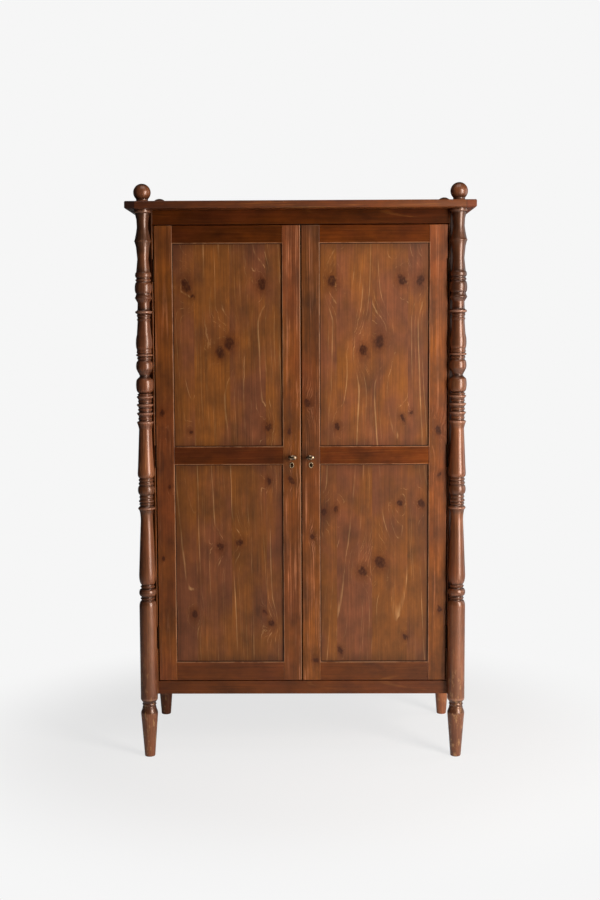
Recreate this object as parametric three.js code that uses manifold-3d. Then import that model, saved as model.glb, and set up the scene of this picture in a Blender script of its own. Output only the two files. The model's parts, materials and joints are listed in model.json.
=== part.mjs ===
// A tall two-door armoire for a television, in knotty pine, on four full-height turned posts.
// Millimetres, +Z up, doors facing -Y, origin on the floor under the middle of the cabinet.
import * as THREE from 'three';
import { mergeVertices } from 'three/addons/utils/BufferGeometryUtils.js';
import Module from 'manifold-3d';

const wasm = await Module();
wasm.setup();

// Top board
const boardOverhang = 53;
const boardThickness = 25;
const boardEdgeRound = 3;

// Turned posts, one full round at each corner
const postHeight = 1863;
const postRadius = 29.2;
const postSpacing = 1054;
const postSpacingDeep = 504;
const postSides = 12;

// Ball finials, each on a dowel through the board into its post
const ballRadius = 29;
const ballLift = 32;
const neckRadius = 19;
const dowelRadius = 8;
const dowelInPost = 26;

// Clearances
const seat = 0.1;
const fit = 0.3;
const stopGap = 0.5;
const overrun = 5;

// Carcass
const caseBottom = 214;
const faceBehindPost = 12;
const sideBeyondPostAxis = 8;
const doorwayInsidePost = 1.8;
const cornerStileDepth = 40;
const sideFrameThickness = 20;
const sideRailHeight = 60;
const friezeHeight = 48;
const apronHeight = 45;
const railThickness = 20;
const tenonThickness = 8;
const tenonLength = 8;
const tenonShoulder = 6;

// Frame joints and panels, alike in the doors and the sides
const grooveDepth = 9;
const panelThickness = 8;
const panelSetback = 6;
const panelSwell = 0.5;

// Shelves and back
const shelfThickness = 20;
const floorAboveDoorBottom = 8;
const lowerCompartment = 470;
const upperCompartment = 303;
const shelfBehindDoor = 9;
const housingDepth = 6;
const backThickness = 6;
const backInset = 18;
const backGrooveDepth = 6;
const cableHoleRadius = 30;
const cableHoleRise = 110;
const cableHoleOffset = 250;
const shelfHoleRadius = 25;
const shelfHoleFromBack = 60;
const holeSides = 16;

// Doors
const doorThickness = 20;
const doorGap = 3;
const meetingGap = 4;
const hingeGap = 4;
const doorStileWidth = 61;
const doorTopRail = 60;
const doorMidRail = 62;
const doorBottomRail = 64;
const midRailRise = 777;

// Butt hinges
const hingeHeight = 76;
const hingeFromEnd = 150;
const leafThickness = 1.6;
const leafWidth = 19;
const barrelRadius = 3.2;
const pinRadius = 1.3;
const pinProud = 3.8;
const barrelSides = 10;

// Knobs and key plates
const knobBelowMidRail = 5.5;
const knobFromEdge = 28;
const knobWide = 32;
const knobTall = 18;
const knobDeep = 16;
const knobReach = 28;
const knobStemRadius = 5;
const knobCollarRadius = 8;
const knobCollarThickness = 2;
const knobStudRadius = 2;
const knobStudLength = 8;
const knobSides = 12;
const keyBelowKnob = 27.5;
const keyPlateWide = 15;
const keyPlateTall = 20;
const keyPlateThickness = 1.5;
const keyRoundRadius = 2.2;
const keySlotWidth = 2.4;
const keySlotLength = 6;
const blindKeyholeDepth = 8;

// Lock in the right door
const woodBesideLock = 2;
const lockHeight = 46;
const lockThickness = 11.6;
const lockWall = 1.5;
const lockFromEdge = 10;
const lockAboveKey = 22;
const boltHeight = 12;
const boltThickness = 6;
const boltLength = 42;
const boltBelowLockTop = 5;
const boltTravel = 9;
const boltNotchWidth = 6;
const boltNotchDepth = 3;
const keeperClear = 1.3;

// Magnetic catch behind the frieze, with a steel plate on each door
const catchWidth = 60;
const catchHeight = 48;
const catchThickness = 13;
const catchDrop = 18;
const plateWidth = 20;
const plateHeight = 16;
const plateThickness = 1.2;
const plateFromMeeting = 6;
const plateBelowTop = 1;
const catchToPlate = 0.4;

// Places worked out from the sizes above
const postX = postSpacing / 2;
const postY = postSpacingDeep / 2;
const boardWidth = postSpacing + 2 * boardOverhang;
const boardDepth = postSpacingDeep + 2 * boardOverhang;
const boardUnderside = postHeight + seat;
const boardTop = boardUnderside + boardThickness;
const frontY = -(postY - faceBehindPost);
const backY = postY - faceBehindPost;
const caseTop = postHeight - seat;
const caseHalfWidth = postX + sideBeyondPostAxis;
const doorwayHalf = postX - postRadius - doorwayInsidePost;
const doorInnerX = meetingGap / 2;
const doorOuterX = doorwayHalf - hingeGap;
const doorBackY = frontY + doorThickness;
const doorTop = postHeight - friezeHeight - doorGap;
const doorBottom = caseBottom + apronHeight + doorGap;
const doorMidRailCentre = doorBottom + midRailRise;
const floorTop = doorBottom + floorAboveDoorBottom;
const tvShelfTop = floorTop + lowerCompartment + shelfThickness;
const upperShelfTop = postHeight - upperCompartment;
const cornerInnerY = frontY + cornerStileDepth;
const sidePanelX = caseHalfWidth - sideFrameThickness / 2;
const grooveHalf = panelThickness / 2 + fit;
const doorPanelY = frontY + panelSetback + panelThickness / 2;
const shelfFrontY = doorBackY + shelfBehindDoor;
const backPanelY = backY - backInset;
const pinX = doorwayHalf - hingeGap / 2;
const pinY = frontY - pinProud;
const lockStileX = doorInnerX + doorStileWidth;
const knobX = doorInnerX + knobFromEdge;
const keyX = doorInnerX + doorStileWidth / 2;
const knobHeight = doorMidRailCentre - knobBelowMidRail;
const keyPlateHeight = knobHeight - keyBelowKnob;
const lockWidth = doorStileWidth - lockFromEdge - grooveDepth - woodBesideLock;
const lockLeft = doorInnerX + lockFromEdge;
const lockTop = keyPlateHeight + lockAboveKey;
const lockBottom = lockTop - lockHeight;
const keeperDepth = boltTravel - fit - meetingGap + keeperClear;
const boltTop = lockTop - boltBelowLockTop;
const boltY = doorBackY - lockThickness / 2;

// What repeats, and where
const sides = [
  { name: 'left', sign: -1 },
  { name: 'right', sign: 1 },
];
const ends = [
  { name: 'front', sign: -1 },
  { name: 'back', sign: 1 },
];
const shelves = [
  { name: 'bottom_board', top: floorTop, frontY: doorBackY + stopGap, hole: false,
    reach: caseHalfWidth - sideFrameThickness - fit },
  { name: 'tv_shelf', top: tvShelfTop, frontY: shelfFrontY, hole: true,
    reach: sidePanelX - panelThickness / 2 - fit },
  { name: 'upper_shelf', top: upperShelfTop, frontY: shelfFrontY, hole: false,
    reach: sidePanelX - panelThickness / 2 - fit },
];
const frontRails = [
  { name: 'frieze_rail', bottom: postHeight - friezeHeight, top: caseTop },
  { name: 'apron_rail', bottom: caseBottom, top: caseBottom + apronHeight },
];
const hinges = [
  { name: 'top', middleZ: doorTop - hingeFromEnd },
  { name: 'middle', middleZ: (doorTop + doorBottom) / 2 },
  { name: 'bottom', middleZ: doorBottom + hingeFromEnd },
];

const finishes = {
  frame: { color: 0x6f3a1b, roughness: 0.42, metalness: 0 },
  panel: { color: 0x7f4b2b, roughness: 0.46, metalness: 0 },
  turned: { color: 0x74452f, roughness: 0.33, metalness: 0 },
  top: { color: 0x714127, roughness: 0.4, metalness: 0 },
  inside: { color: 0x8a5b39, roughness: 0.6, metalness: 0 },
  brass: { color: 0xb08a48, roughness: 0.3, metalness: 1 },
  steel: { color: 0x8d8f92, roughness: 0.4, metalness: 1 },
  plastic: { color: 0x3a2a20, roughness: 0.5, metalness: 0 },
};

const armoire = new THREE.Group();

function addPart(name, geometry, finish) {
  const flat = geometry.index ? geometry.toNonIndexed() : geometry;
  flat.computeVertexNormals();
  const mesh = new THREE.Mesh(flat, new THREE.MeshStandardMaterial(finishes[finish]));
  mesh.name = name;
  armoire.add(mesh);
}

// A box between two corners, given in any order
function block(x0, x1, y0, y1, z0, z1) {
  const box = new THREE.BoxGeometry(Math.abs(x1 - x0), Math.abs(y1 - y0), Math.abs(z1 - z0));
  return box.translate((x0 + x1) / 2, (y0 + y1) / 2, (z0 + z1) / 2);
}

// A round bar along Z
function upright(radius, sides, x, y, z0, z1) {
  const bar = new THREE.CylinderGeometry(radius, radius, z1 - z0, sides);
  return bar.rotateX(Math.PI / 2).translate(x, y, (z0 + z1) / 2);
}

function toSolid(geometry) {
  const bare = geometry.clone();
  bare.deleteAttribute('normal');
  bare.deleteAttribute('uv');
  const merged = mergeVertices(bare);
  return new wasm.Manifold(new wasm.Mesh({
    numProp: 3,
    vertProperties: new Float32Array(merged.attributes.position.array),
    triVerts: new Uint32Array(merged.index.array),
  }));
}

function toGeometry(solid) {
  const mesh = solid.getMesh();
  const geometry = new THREE.BufferGeometry();
  geometry.setAttribute('position', new THREE.BufferAttribute(new Float32Array(mesh.vertProperties), 3));
  geometry.setIndex(new THREE.BufferAttribute(new Uint32Array(mesh.triVerts), 1));
  return geometry;
}

// Joins the first list of shapes and cuts the second list out of them
function joinAndCut(joined, cut = []) {
  let solid = toSolid(joined[0]);
  for (const piece of joined.slice(1)) {
    solid = solid.add(toSolid(piece));
  }
  for (const piece of cut) {
    solid = solid.subtract(toSolid(piece));
  }
  return toGeometry(solid);
}

// The turning, from the floor up. Each row is how the line gets there, the height that it ends at
// as a share of the post, and the radius there as a share of the widest radius.
const footShare = 0.54;
const turningShares = [
  ['line', 0.0011, 0.61],
  ['line', 0.0778, 1],
  ['line', 0.0864, 0.993],
  ['round', 0.0945, 0.753],
  ['line', 0.0982, 0.836],
  ['line', 0.1014, 0.798],
  ['line', 0.1074, 1],
  ['line', 0.2813, 1],
  ['round', 0.292, 0.733],
  ['line', 0.2958, 0.829],
  ['line', 0.2995, 0.74],
  ['round', 0.307, 1],
  ['round', 0.3151, 0.733],
  ['line', 0.3183, 0.808],
  ['line', 0.3221, 0.712],
  ['round', 0.3392, 0.983],
  ['line', 0.4, 0.822],
  ['line', 0.4402, 0.702],
  ['hollow', 0.4622, 1],
  ['line', 0.4713, 0.678],
  ['line', 0.4772, 0.877],
  ['line', 0.481, 0.795],
  ['line', 0.4847, 0.87],
  ['line', 0.4879, 0.795],
  ['round', 0.4965, 0.966],
  ['round', 0.504, 0.822],
  ['line', 0.5083, 0.873],
  ['line', 0.5115, 0.812],
  ['line', 0.5153, 0.863],
  ['line', 0.5185, 0.77],
  ['round', 0.526, 0.973],
  ['line', 0.5416, 0.914],
  ['line', 0.6066, 0.719],
  ['line', 0.6205, 0.96],
  ['line', 0.6222, 0.719],
  ['line', 0.6275, 0.712],
  ['line', 0.636, 0.95],
  ['line', 0.638, 0.69],
  ['line', 0.6436, 0.695],
  ['line', 0.6511, 0.965],
  ['line', 0.6532, 0.712],
  ['line', 0.6581, 0.695],
  ['line', 0.6656, 0.955],
  ['line', 0.6688, 0.64],
  ['round', 0.6855, 1],
  ['round', 0.7005, 0.6],
  ['line', 0.7025, 0.548],
  ['hollow', 0.715, 0.9],
  ['round', 0.722, 0.955],
  ['round', 0.729, 0.8],
  ['line', 0.7338, 0.753],
  ['line', 0.7402, 0.955],
  ['line', 0.744, 0.818],
  ['line', 0.7477, 0.877],
  ['line', 0.752, 0.846],
  ['round', 0.7633, 0.952],
  ['line', 0.7703, 0.925],
  ['line', 0.7783, 0.822],
  ['line', 0.7966, 0.736],
  ['line', 0.803, 0.795],
  ['line', 0.8089, 0.699],
  ['line', 0.817, 0.976],
  ['line', 0.8229, 0.712],
  ['line', 0.8352, 0.685],
  ['line', 0.8438, 1],
  ['line', 0.8513, 0.815],
  ['round', 0.8604, 1],
  ['round', 0.8728, 0.822],
  ['line', 0.8765, 0.877],
  ['line', 0.8808, 0.832],
  ['line', 0.8868, 0.9],
  ['line', 0.8927, 0.805],
  ['line', 0.9125, 0.644],
  ['line', 0.934, 0.77],
  ['line', 0.9447, 0.966],
  ['line', 0.9582, 0.753],
  ['line', 0.9689, 0.647],
  ['line', 0.9823, 0.685],
  ['line', 0.993, 0.856],
  ['line', 0.9946, 0.976],
  ['line', 1, 0.976],
];
const curveSteps = 2;

// Where a quarter-curve between two outline points has got to, at a share of the way along it
function alongCurve(kind, from, to, share) {
  const turn = share * Math.PI / 2;
  const leavesLevel = (kind === 'round') === (to.x > from.x);
  const outward = leavesLevel ? Math.sin(turn) : 1 - Math.cos(turn);
  const upward = leavesLevel ? 1 - Math.cos(turn) : Math.sin(turn);
  return new THREE.Vector2(
    from.x + (to.x - from.x) * outward,
    from.y + (to.y - from.y) * upward,
  );
}

function turnedOutline() {
  const outline = [new THREE.Vector2(0, 0), new THREE.Vector2(postRadius * footShare, 0)];
  for (const [kind, heightShare, radiusShare] of turningShares) {
    const from = outline[outline.length - 1];
    const to = new THREE.Vector2(postRadius * radiusShare, postHeight * heightShare);
    const steps = kind === 'line' ? 1 : curveSteps;
    for (let step = 1; step <= steps; step += 1) {
      outline.push(step === steps ? to : alongCurve(kind, from, to, step / steps));
    }
  }
  const boreFloor = postHeight - dowelInPost - fit;
  outline.push(new THREE.Vector2(dowelRadius + fit, postHeight));
  outline.push(new THREE.Vector2(dowelRadius + fit, boreFloor));
  outline.push(new THREE.Vector2(0, boreFloor));
  return outline;
}

function finialOutline() {
  const neckTop = boardTop + ballLift - Math.sqrt(ballRadius ** 2 - neckRadius ** 2);
  const outline = [
    new THREE.Vector2(0, postHeight - dowelInPost),
    new THREE.Vector2(dowelRadius, postHeight - dowelInPost),
    new THREE.Vector2(dowelRadius, boardTop + seat),
    new THREE.Vector2(neckRadius, boardTop + seat),
    new THREE.Vector2(neckRadius, neckTop),
  ];
  const lowest = Math.asin(-Math.sqrt(ballRadius ** 2 - neckRadius ** 2) / ballRadius);
  const steps = 7;
  for (let step = 1; step < steps; step += 1) {
    const rise = lowest + (Math.PI / 2 - lowest) * step / steps;
    outline.push(new THREE.Vector2(
      ballRadius * Math.cos(rise),
      boardTop + ballLift + ballRadius * Math.sin(rise),
    ));
  }
  outline.push(new THREE.Vector2(0, boardTop + ballLift + ballRadius));
  return outline;
}

function addPostsAndFinials() {
  const outlines = { post: turnedOutline(), finial: finialOutline() };
  for (const end of ends) {
    for (const side of sides) {
      for (const [piece, outline] of Object.entries(outlines)) {
        const turned = new THREE.LatheGeometry(outline, postSides).rotateX(Math.PI / 2);
        turned.translate(side.sign * postX, end.sign * postY, 0);
        turned.deleteAttribute('normal');
        turned.deleteAttribute('uv');
        addPart(`${piece}_${end.name}_${side.name}`, mergeVertices(turned), 'turned');
      }
    }
  }
}

function rectangle(width, depth) {
  const outline = new THREE.Shape();
  outline.moveTo(-width / 2, -depth / 2);
  outline.lineTo(width / 2, -depth / 2);
  outline.lineTo(width / 2, depth / 2);
  outline.lineTo(-width / 2, depth / 2);
  outline.closePath();
  return outline;
}

function addTopBoard() {
  const flatWidth = boardWidth - 2 * boardEdgeRound;
  const flatDepth = boardDepth - 2 * boardEdgeRound;
  const board = new THREE.ExtrudeGeometry(rectangle(flatWidth, flatDepth), {
    depth: boardThickness - 2 * boardEdgeRound,
    bevelThickness: boardEdgeRound,
    bevelSize: boardEdgeRound,
    bevelSegments: 1,
    curveSegments: 1,
  });
  board.translate(0, 0, boardUnderside + boardEdgeRound);
  const holes = [];
  for (const end of ends) {
    for (const side of sides) {
      holes.push(upright(dowelRadius + fit, postSides, side.sign * postX, end.sign * postY,
        boardUnderside - overrun, boardTop + overrun));
    }
  }
  addPart('top_board', joinAndCut([board], holes), 'top');
}

// A corner stile: hollowed for the post, grooved for the side frame, mortised for the rails at the
// front or grooved for the back, and housed for each shelf
function addCornerStile(end, side) {
  const x = (value) => side.sign * value;
  const y = (value) => end.sign * value;
  const innerY = backY - cornerStileDepth;
  const stile = block(x(doorwayHalf), x(caseHalfWidth), y(innerY), y(backY), caseBottom, caseTop);
  const cuts = [
    upright(postRadius + fit, postSides * 2, x(postX), y(postY), caseBottom - overrun, caseTop + overrun),
    block(x(sidePanelX - grooveHalf), x(sidePanelX + grooveHalf), y(innerY - overrun),
      y(innerY + grooveDepth), caseBottom - overrun, caseTop + overrun),
  ];
  for (const shelf of shelves) {
    const reachY = end.name === 'front' ? -shelf.frontY : backPanelY;
    cuts.push(block(x(doorwayHalf - overrun), x(doorwayHalf + housingDepth + fit), y(innerY - overrun),
      y(reachY + fit), shelf.top - shelfThickness - fit, shelf.top + fit));
  }
  if (end.name === 'front') {
    const mortiseBack = -doorBackY - fit;
    for (const rail of frontRails) {
      cuts.push(block(x(doorwayHalf - overrun), x(doorwayHalf + tenonLength + fit), y(mortiseBack),
        y(mortiseBack + tenonThickness + 2 * fit), rail.bottom + tenonShoulder - fit,
        rail.top - tenonShoulder + fit));
    }
  } else {
    cuts.push(block(x(doorwayHalf - overrun), x(doorwayHalf + backGrooveDepth + fit), backPanelY - fit,
      backPanelY + backThickness + fit, caseBottom - overrun, caseTop + overrun));
  }
  addPart(`corner_stile_${end.name}_${side.name}`, joinAndCut([stile], cuts), 'frame');
}

// A rail across the front with a stub tenon at each end
function addFrontRail(rail) {
  const bodyHalf = doorwayHalf - seat;
  const tenonHalf = doorwayHalf + tenonLength;
  const backOfRail = frontY + railThickness;
  addPart(rail.name, joinAndCut([
    block(-bodyHalf, bodyHalf, frontY, backOfRail, rail.bottom, rail.top),
    block(-tenonHalf, tenonHalf, backOfRail - tenonThickness, backOfRail,
      rail.bottom + tenonShoulder, rail.top - tenonShoulder),
  ]), 'frame');
}

function addSideFrame(side) {
  const x = (value) => side.sign * value;
  const inner = caseHalfWidth - sideFrameThickness;
  const railHalf = -cornerInnerY - seat;
  const tongueHalf = -cornerInnerY + grooveDepth - fit;
  const tongue = panelThickness / 2;
  const rails = [
    { name: 'side_top_rail', bottom: caseTop - sideRailHeight, top: caseTop, grooveUp: false },
    { name: 'side_bottom_rail', bottom: caseBottom, top: caseBottom + sideRailHeight, grooveUp: true },
  ];
  for (const rail of rails) {
    const grooveEdge = rail.grooveUp ? rail.top : rail.bottom;
    const grooveFloor = rail.grooveUp ? grooveEdge - grooveDepth : grooveEdge + grooveDepth;
    const grooveMouth = rail.grooveUp ? grooveEdge + overrun : grooveEdge - overrun;
    addPart(`${rail.name}_${side.name}`, joinAndCut([
      block(x(inner), x(caseHalfWidth), -railHalf, railHalf, rail.bottom, rail.top),
      block(x(sidePanelX - tongue), x(sidePanelX + tongue), -tongueHalf, tongueHalf, rail.bottom, rail.top),
    ], [
      block(x(sidePanelX - grooveHalf), x(sidePanelX + grooveHalf), -tongueHalf - overrun,
        tongueHalf + overrun, grooveFloor, grooveMouth),
    ]), 'frame');
  }
  const panelIn = grooveDepth - panelSwell;
  addPart(`side_panel_${side.name}`, block(x(sidePanelX - tongue), x(sidePanelX + tongue),
    cornerInnerY - panelIn, -cornerInnerY + panelIn, caseBottom + sideRailHeight - panelIn,
    caseTop - sideRailHeight + panelIn), 'panel');
}

function circlePath(centreX, centreY, radius, sideCount) {
  const path = new THREE.Path();
  for (let corner = 0; corner < sideCount; corner += 1) {
    const turn = corner / sideCount * 2 * Math.PI;
    const point = [centreX + radius * Math.cos(turn), centreY + radius * Math.sin(turn)];
    if (corner === 0) {
      path.moveTo(...point);
    } else {
      path.lineTo(...point);
    }
  }
  path.closePath();
  return path;
}

// A shelf fills the case between the stiles, with a narrower end housed in them at front and back
function addShelf(shelf) {
  const narrow = doorwayHalf + housingDepth;
  const stileY = -cornerInnerY - fit;
  const rearY = backPanelY - seat;
  const outline = new THREE.Shape();
  outline.moveTo(-narrow, shelf.frontY);
  outline.lineTo(narrow, shelf.frontY);
  outline.lineTo(narrow, -stileY);
  outline.lineTo(shelf.reach, -stileY);
  outline.lineTo(shelf.reach, stileY);
  outline.lineTo(narrow, stileY);
  outline.lineTo(narrow, rearY);
  outline.lineTo(-narrow, rearY);
  outline.lineTo(-narrow, stileY);
  outline.lineTo(-shelf.reach, stileY);
  outline.lineTo(-shelf.reach, -stileY);
  outline.lineTo(-narrow, -stileY);
  outline.closePath();
  if (shelf.hole) {
    outline.holes.push(circlePath(cableHoleOffset, rearY - shelfHoleFromBack, shelfHoleRadius, holeSides));
  }
  const board = new THREE.ExtrudeGeometry(outline, { depth: shelfThickness, bevelEnabled: false });
  board.translate(0, 0, shelf.top - shelfThickness);
  addPart(shelf.name, board, 'inside');
}

// The back, with a cable hole just above the floor of the two larger compartments
function addBackPanel() {
  const halfWidth = doorwayHalf + backGrooveDepth;
  const outline = rectangle(2 * halfWidth, caseTop - caseBottom);
  const middle = (caseTop + caseBottom) / 2;
  for (const floorHeight of [floorTop, tvShelfTop]) {
    outline.holes.push(circlePath(cableHoleOffset, floorHeight + cableHoleRise - middle, cableHoleRadius,
      holeSides));
  }
  const panel = new THREE.ExtrudeGeometry(outline, { depth: backThickness, bevelEnabled: false });
  panel.rotateX(Math.PI / 2);
  panel.translate(0, backPanelY + backThickness, middle);
  addPart('back_panel', panel, 'inside');
}

// A round hole with a slot under it, drawn in x and y about the centre of the round part
function keyholePath() {
  const path = new THREE.Path();
  const slotHalf = keySlotWidth / 2;
  const start = -Math.PI / 2 + Math.asin(slotHalf / keyRoundRadius);
  const sweep = 2 * Math.PI - 2 * Math.asin(slotHalf / keyRoundRadius);
  const arcSteps = 8;
  path.moveTo(slotHalf, -keySlotLength);
  for (let step = 0; step <= arcSteps; step += 1) {
    const turn = start + sweep * step / arcSteps;
    path.lineTo(keyRoundRadius * Math.cos(turn), keyRoundRadius * Math.sin(turn));
  }
  path.lineTo(-slotHalf, -keySlotLength);
  path.closePath();
  return path;
}

// The keyhole as a plug, from the face of the door to a depth behind it
function keyholePlug(sign, depth) {
  const outline = new THREE.Shape(keyholePath().getPoints());
  const plug = new THREE.ExtrudeGeometry(outline, { depth: depth + overrun, bevelEnabled: false });
  plug.rotateX(Math.PI / 2);
  return plug.translate(sign * keyX, frontY + depth, keyPlateHeight);
}

function doorStile(side, name, x0, x1, grooveX, extraCuts) {
  const grooveInX = grooveX === x1 ? grooveX - grooveDepth : grooveX + grooveDepth;
  const grooveOutX = grooveX === x1 ? grooveX + overrun : grooveX - overrun;
  const groove = block(side.sign * grooveInX, side.sign * grooveOutX, doorPanelY - grooveHalf,
    doorPanelY + grooveHalf, doorBottom - overrun, doorTop + overrun);
  const stile = block(side.sign * x0, side.sign * x1, frontY, doorBackY, doorBottom, doorTop);
  addPart(`${side.name}_door_${name}`, joinAndCut([stile], [groove, ...extraCuts]), 'frame');
}

// A door rail: a board between the stiles, a tongue at each end, and a groove to each panel
function doorRail(side, name, bottom, top, grooveBelow, grooveAbove) {
  const innerX = lockStileX + seat;
  const outerX = doorOuterX - doorStileWidth - seat;
  const tongue = panelThickness / 2;
  const tongueReach = grooveDepth - fit;
  const cuts = [];
  const grooveEnds = [
    side.sign * (innerX - grooveDepth - overrun),
    side.sign * (outerX + grooveDepth + overrun),
  ];
  if (grooveBelow) {
    cuts.push(block(...grooveEnds, doorPanelY - grooveHalf, doorPanelY + grooveHalf,
      bottom - overrun, bottom + grooveDepth));
  }
  if (grooveAbove) {
    cuts.push(block(...grooveEnds, doorPanelY - grooveHalf, doorPanelY + grooveHalf,
      top - grooveDepth, top + overrun));
  }
  addPart(`${side.name}_door_${name}`, joinAndCut([
    block(side.sign * innerX, side.sign * outerX, frontY, doorBackY, bottom, top),
    block(side.sign * (innerX - tongueReach), side.sign * (outerX + tongueReach),
      doorPanelY - tongue, doorPanelY + tongue, bottom, top),
  ], cuts), 'frame');
}

function doorPanel(side, name, bottom, top) {
  const panelIn = grooveDepth - panelSwell;
  addPart(`${side.name}_door_${name}`, block(side.sign * (lockStileX - panelIn),
    side.sign * (doorOuterX - doorStileWidth + panelIn), doorPanelY - panelThickness / 2,
    doorPanelY + panelThickness / 2, bottom - panelIn, top + panelIn), 'panel');
}

// What the lock stile gives up: the knob's bore, the keyhole, and the pocket or the keeper
function lockStileCuts(side) {
  const bore = new THREE.CylinderGeometry(knobStudRadius + fit, knobStudRadius + fit,
    knobStudLength + fit + overrun, barrelSides);
  bore.translate(side.sign * knobX, frontY + (knobStudLength + fit - overrun) / 2, knobHeight);
  const boltSlotY = [boltY - boltThickness / 2 - fit, boltY + boltThickness / 2 + fit];
  const boltSlotZ = [boltTop - boltHeight - fit, boltTop + fit];
  if (side.name === 'right') {
    const pocketFrontY = doorBackY - lockThickness - fit;
    return [
      bore,
      keyholePlug(side.sign, pocketFrontY - frontY + fit),
      block(lockLeft - fit, lockLeft + lockWidth + fit, pocketFrontY, doorBackY + overrun,
        lockBottom - fit, lockTop + fit),
      block(doorInnerX - overrun, lockLeft + fit, ...boltSlotY, ...boltSlotZ),
    ];
  }
  return [
    bore,
    keyholePlug(side.sign, blindKeyholeDepth),
    block(-doorInnerX + overrun, -doorInnerX - keeperDepth, ...boltSlotY, ...boltSlotZ),
  ];
}

function addDoor(side) {
  const hingeStileX = doorOuterX - doorStileWidth;
  const midBottom = doorMidRailCentre - doorMidRail / 2;
  const midTop = doorMidRailCentre + doorMidRail / 2;
  doorStile(side, 'hinge_stile', hingeStileX, doorOuterX, hingeStileX, []);
  doorStile(side, 'lock_stile', doorInnerX, lockStileX, lockStileX, lockStileCuts(side));
  doorRail(side, 'top_rail', doorTop - doorTopRail, doorTop, true, false);
  doorRail(side, 'mid_rail', midBottom, midTop, true, true);
  doorRail(side, 'bottom_rail', doorBottom, doorBottom + doorBottomRail, false, true);
  doorPanel(side, 'upper_panel', midTop, doorTop - doorTopRail);
  doorPanel(side, 'lower_panel', doorBottom + doorBottomRail, midBottom);
}

// A hinge: the frame leaf carries the pin and the outer knuckles, the door leaf the middle one
function addHinge(side, name, middleZ) {
  const x = (value) => side.sign * value;
  const low = middleZ - hingeHeight / 2;
  const high = middleZ + hingeHeight / 2;
  const knuckle = hingeHeight / 3;
  const plateY0 = pinY + barrelRadius + fit;
  const plateY1 = plateY0 + leafWidth;
  const bar = (radius, z0, z1) => upright(radius, barrelSides, x(pinX), pinY, z0, z1);
  const frameOut = doorwayHalf - seat;
  const frameIn = frameOut - leafThickness;
  addPart(`${side.name}_hinge_${name}_frame_leaf`, joinAndCut([
    block(x(frameIn), x(frameOut), plateY0, plateY1, low, high),
    block(x(frameIn), x(frameOut), pinY, plateY0 + fit, low, low + knuckle - fit),
    block(x(frameIn), x(frameOut), pinY, plateY0 + fit, high - knuckle + fit, high),
    bar(pinRadius, low, high),
    bar(barrelRadius, low, low + knuckle - fit),
    bar(barrelRadius, high - knuckle + fit, high),
  ]), 'brass');
  const doorIn = doorOuterX + seat;
  const doorOut = doorIn + leafThickness;
  addPart(`${side.name}_hinge_${name}_door_leaf`, joinAndCut([
    block(x(doorIn), x(doorOut), plateY0, plateY1, low, high),
    block(x(doorIn), x(doorOut), pinY, plateY0 + fit, low + knuckle, high - knuckle),
    bar(barrelRadius, low + knuckle, high - knuckle),
  ], [
    bar(pinRadius + fit, low - overrun, high + overrun),
  ]), 'brass');
}

function addKnob(side) {
  const headY = frontY - knobReach + knobDeep / 2;
  const head = new THREE.SphereGeometry(knobDeep / 2, knobSides, knobSides / 2);
  head.scale(knobWide / knobDeep, 1, knobTall / knobDeep);
  head.translate(side.sign * knobX, headY, knobHeight);
  const outline = [
    new THREE.Vector2(0, -knobStudLength),
    new THREE.Vector2(knobStudRadius, -knobStudLength),
    new THREE.Vector2(knobStudRadius, seat),
    new THREE.Vector2(knobCollarRadius, seat),
    new THREE.Vector2(knobCollarRadius, knobCollarThickness / 2),
    new THREE.Vector2(knobStemRadius, knobCollarThickness),
    new THREE.Vector2(knobStemRadius, knobReach - knobDeep / 2),
    new THREE.Vector2(0, knobReach - knobDeep / 2),
  ];
  const stem = new THREE.LatheGeometry(outline, knobSides);
  stem.rotateX(Math.PI);
  stem.translate(side.sign * knobX, frontY, knobHeight);
  addPart(`${side.name}_knob`, joinAndCut([stem, head]), 'brass');
}

function addKeyPlate(side) {
  const outline = new THREE.Shape();
  const corners = 16;
  for (let corner = 0; corner < corners; corner += 1) {
    const turn = corner / corners * 2 * Math.PI;
    const point = [keyPlateWide / 2 * Math.cos(turn), keyPlateTall / 2 * Math.sin(turn)];
    if (corner === 0) {
      outline.moveTo(...point);
    } else {
      outline.lineTo(...point);
    }
  }
  outline.closePath();
  outline.holes.push(keyholePath());
  const plate = new THREE.ExtrudeGeometry(outline, { depth: keyPlateThickness, bevelEnabled: false });
  plate.rotateX(Math.PI / 2);
  plate.translate(side.sign * keyX, frontY - seat, keyPlateHeight);
  addPart(`${side.name}_key_plate`, plate, 'brass');
}

// The lock: an open-ended case let into the back of the stile, and a bolt that slides in it
function addLock() {
  const lockRight = lockLeft + lockWidth;
  const caseFront = doorBackY - lockThickness;
  const boltY0 = boltY - boltThickness / 2;
  const boltY1 = boltY + boltThickness / 2;
  const keyhole = keyholePlug(1, caseFront - frontY + lockWall + fit);
  addPart('lock_case', joinAndCut([
    block(lockLeft, lockRight, caseFront, doorBackY, lockBottom, lockTop),
  ], [
    block(lockLeft + lockWall, lockRight - lockWall, caseFront + lockWall, doorBackY - lockWall,
      lockBottom + lockWall, lockTop - lockWall),
    block(lockLeft - overrun, lockLeft + lockWall + fit, boltY0 - fit, boltY1 + fit,
      boltTop - boltHeight - fit, boltTop + fit),
    keyhole,
  ]), 'steel');
  const boltEnd = doorInnerX + fit;
  const boltTail = boltEnd + boltLength;
  addPart('lock_bolt', joinAndCut([
    block(boltEnd, boltTail, boltY0, boltY1, boltTop - boltHeight, boltTop),
  ], [
    block(keyX - boltNotchWidth / 2, keyX + boltNotchWidth / 2, boltY0 - overrun, boltY1 + overrun,
      boltTop - boltHeight - overrun, boltTop - boltHeight + boltNotchDepth),
  ]), 'brass');
}

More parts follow.
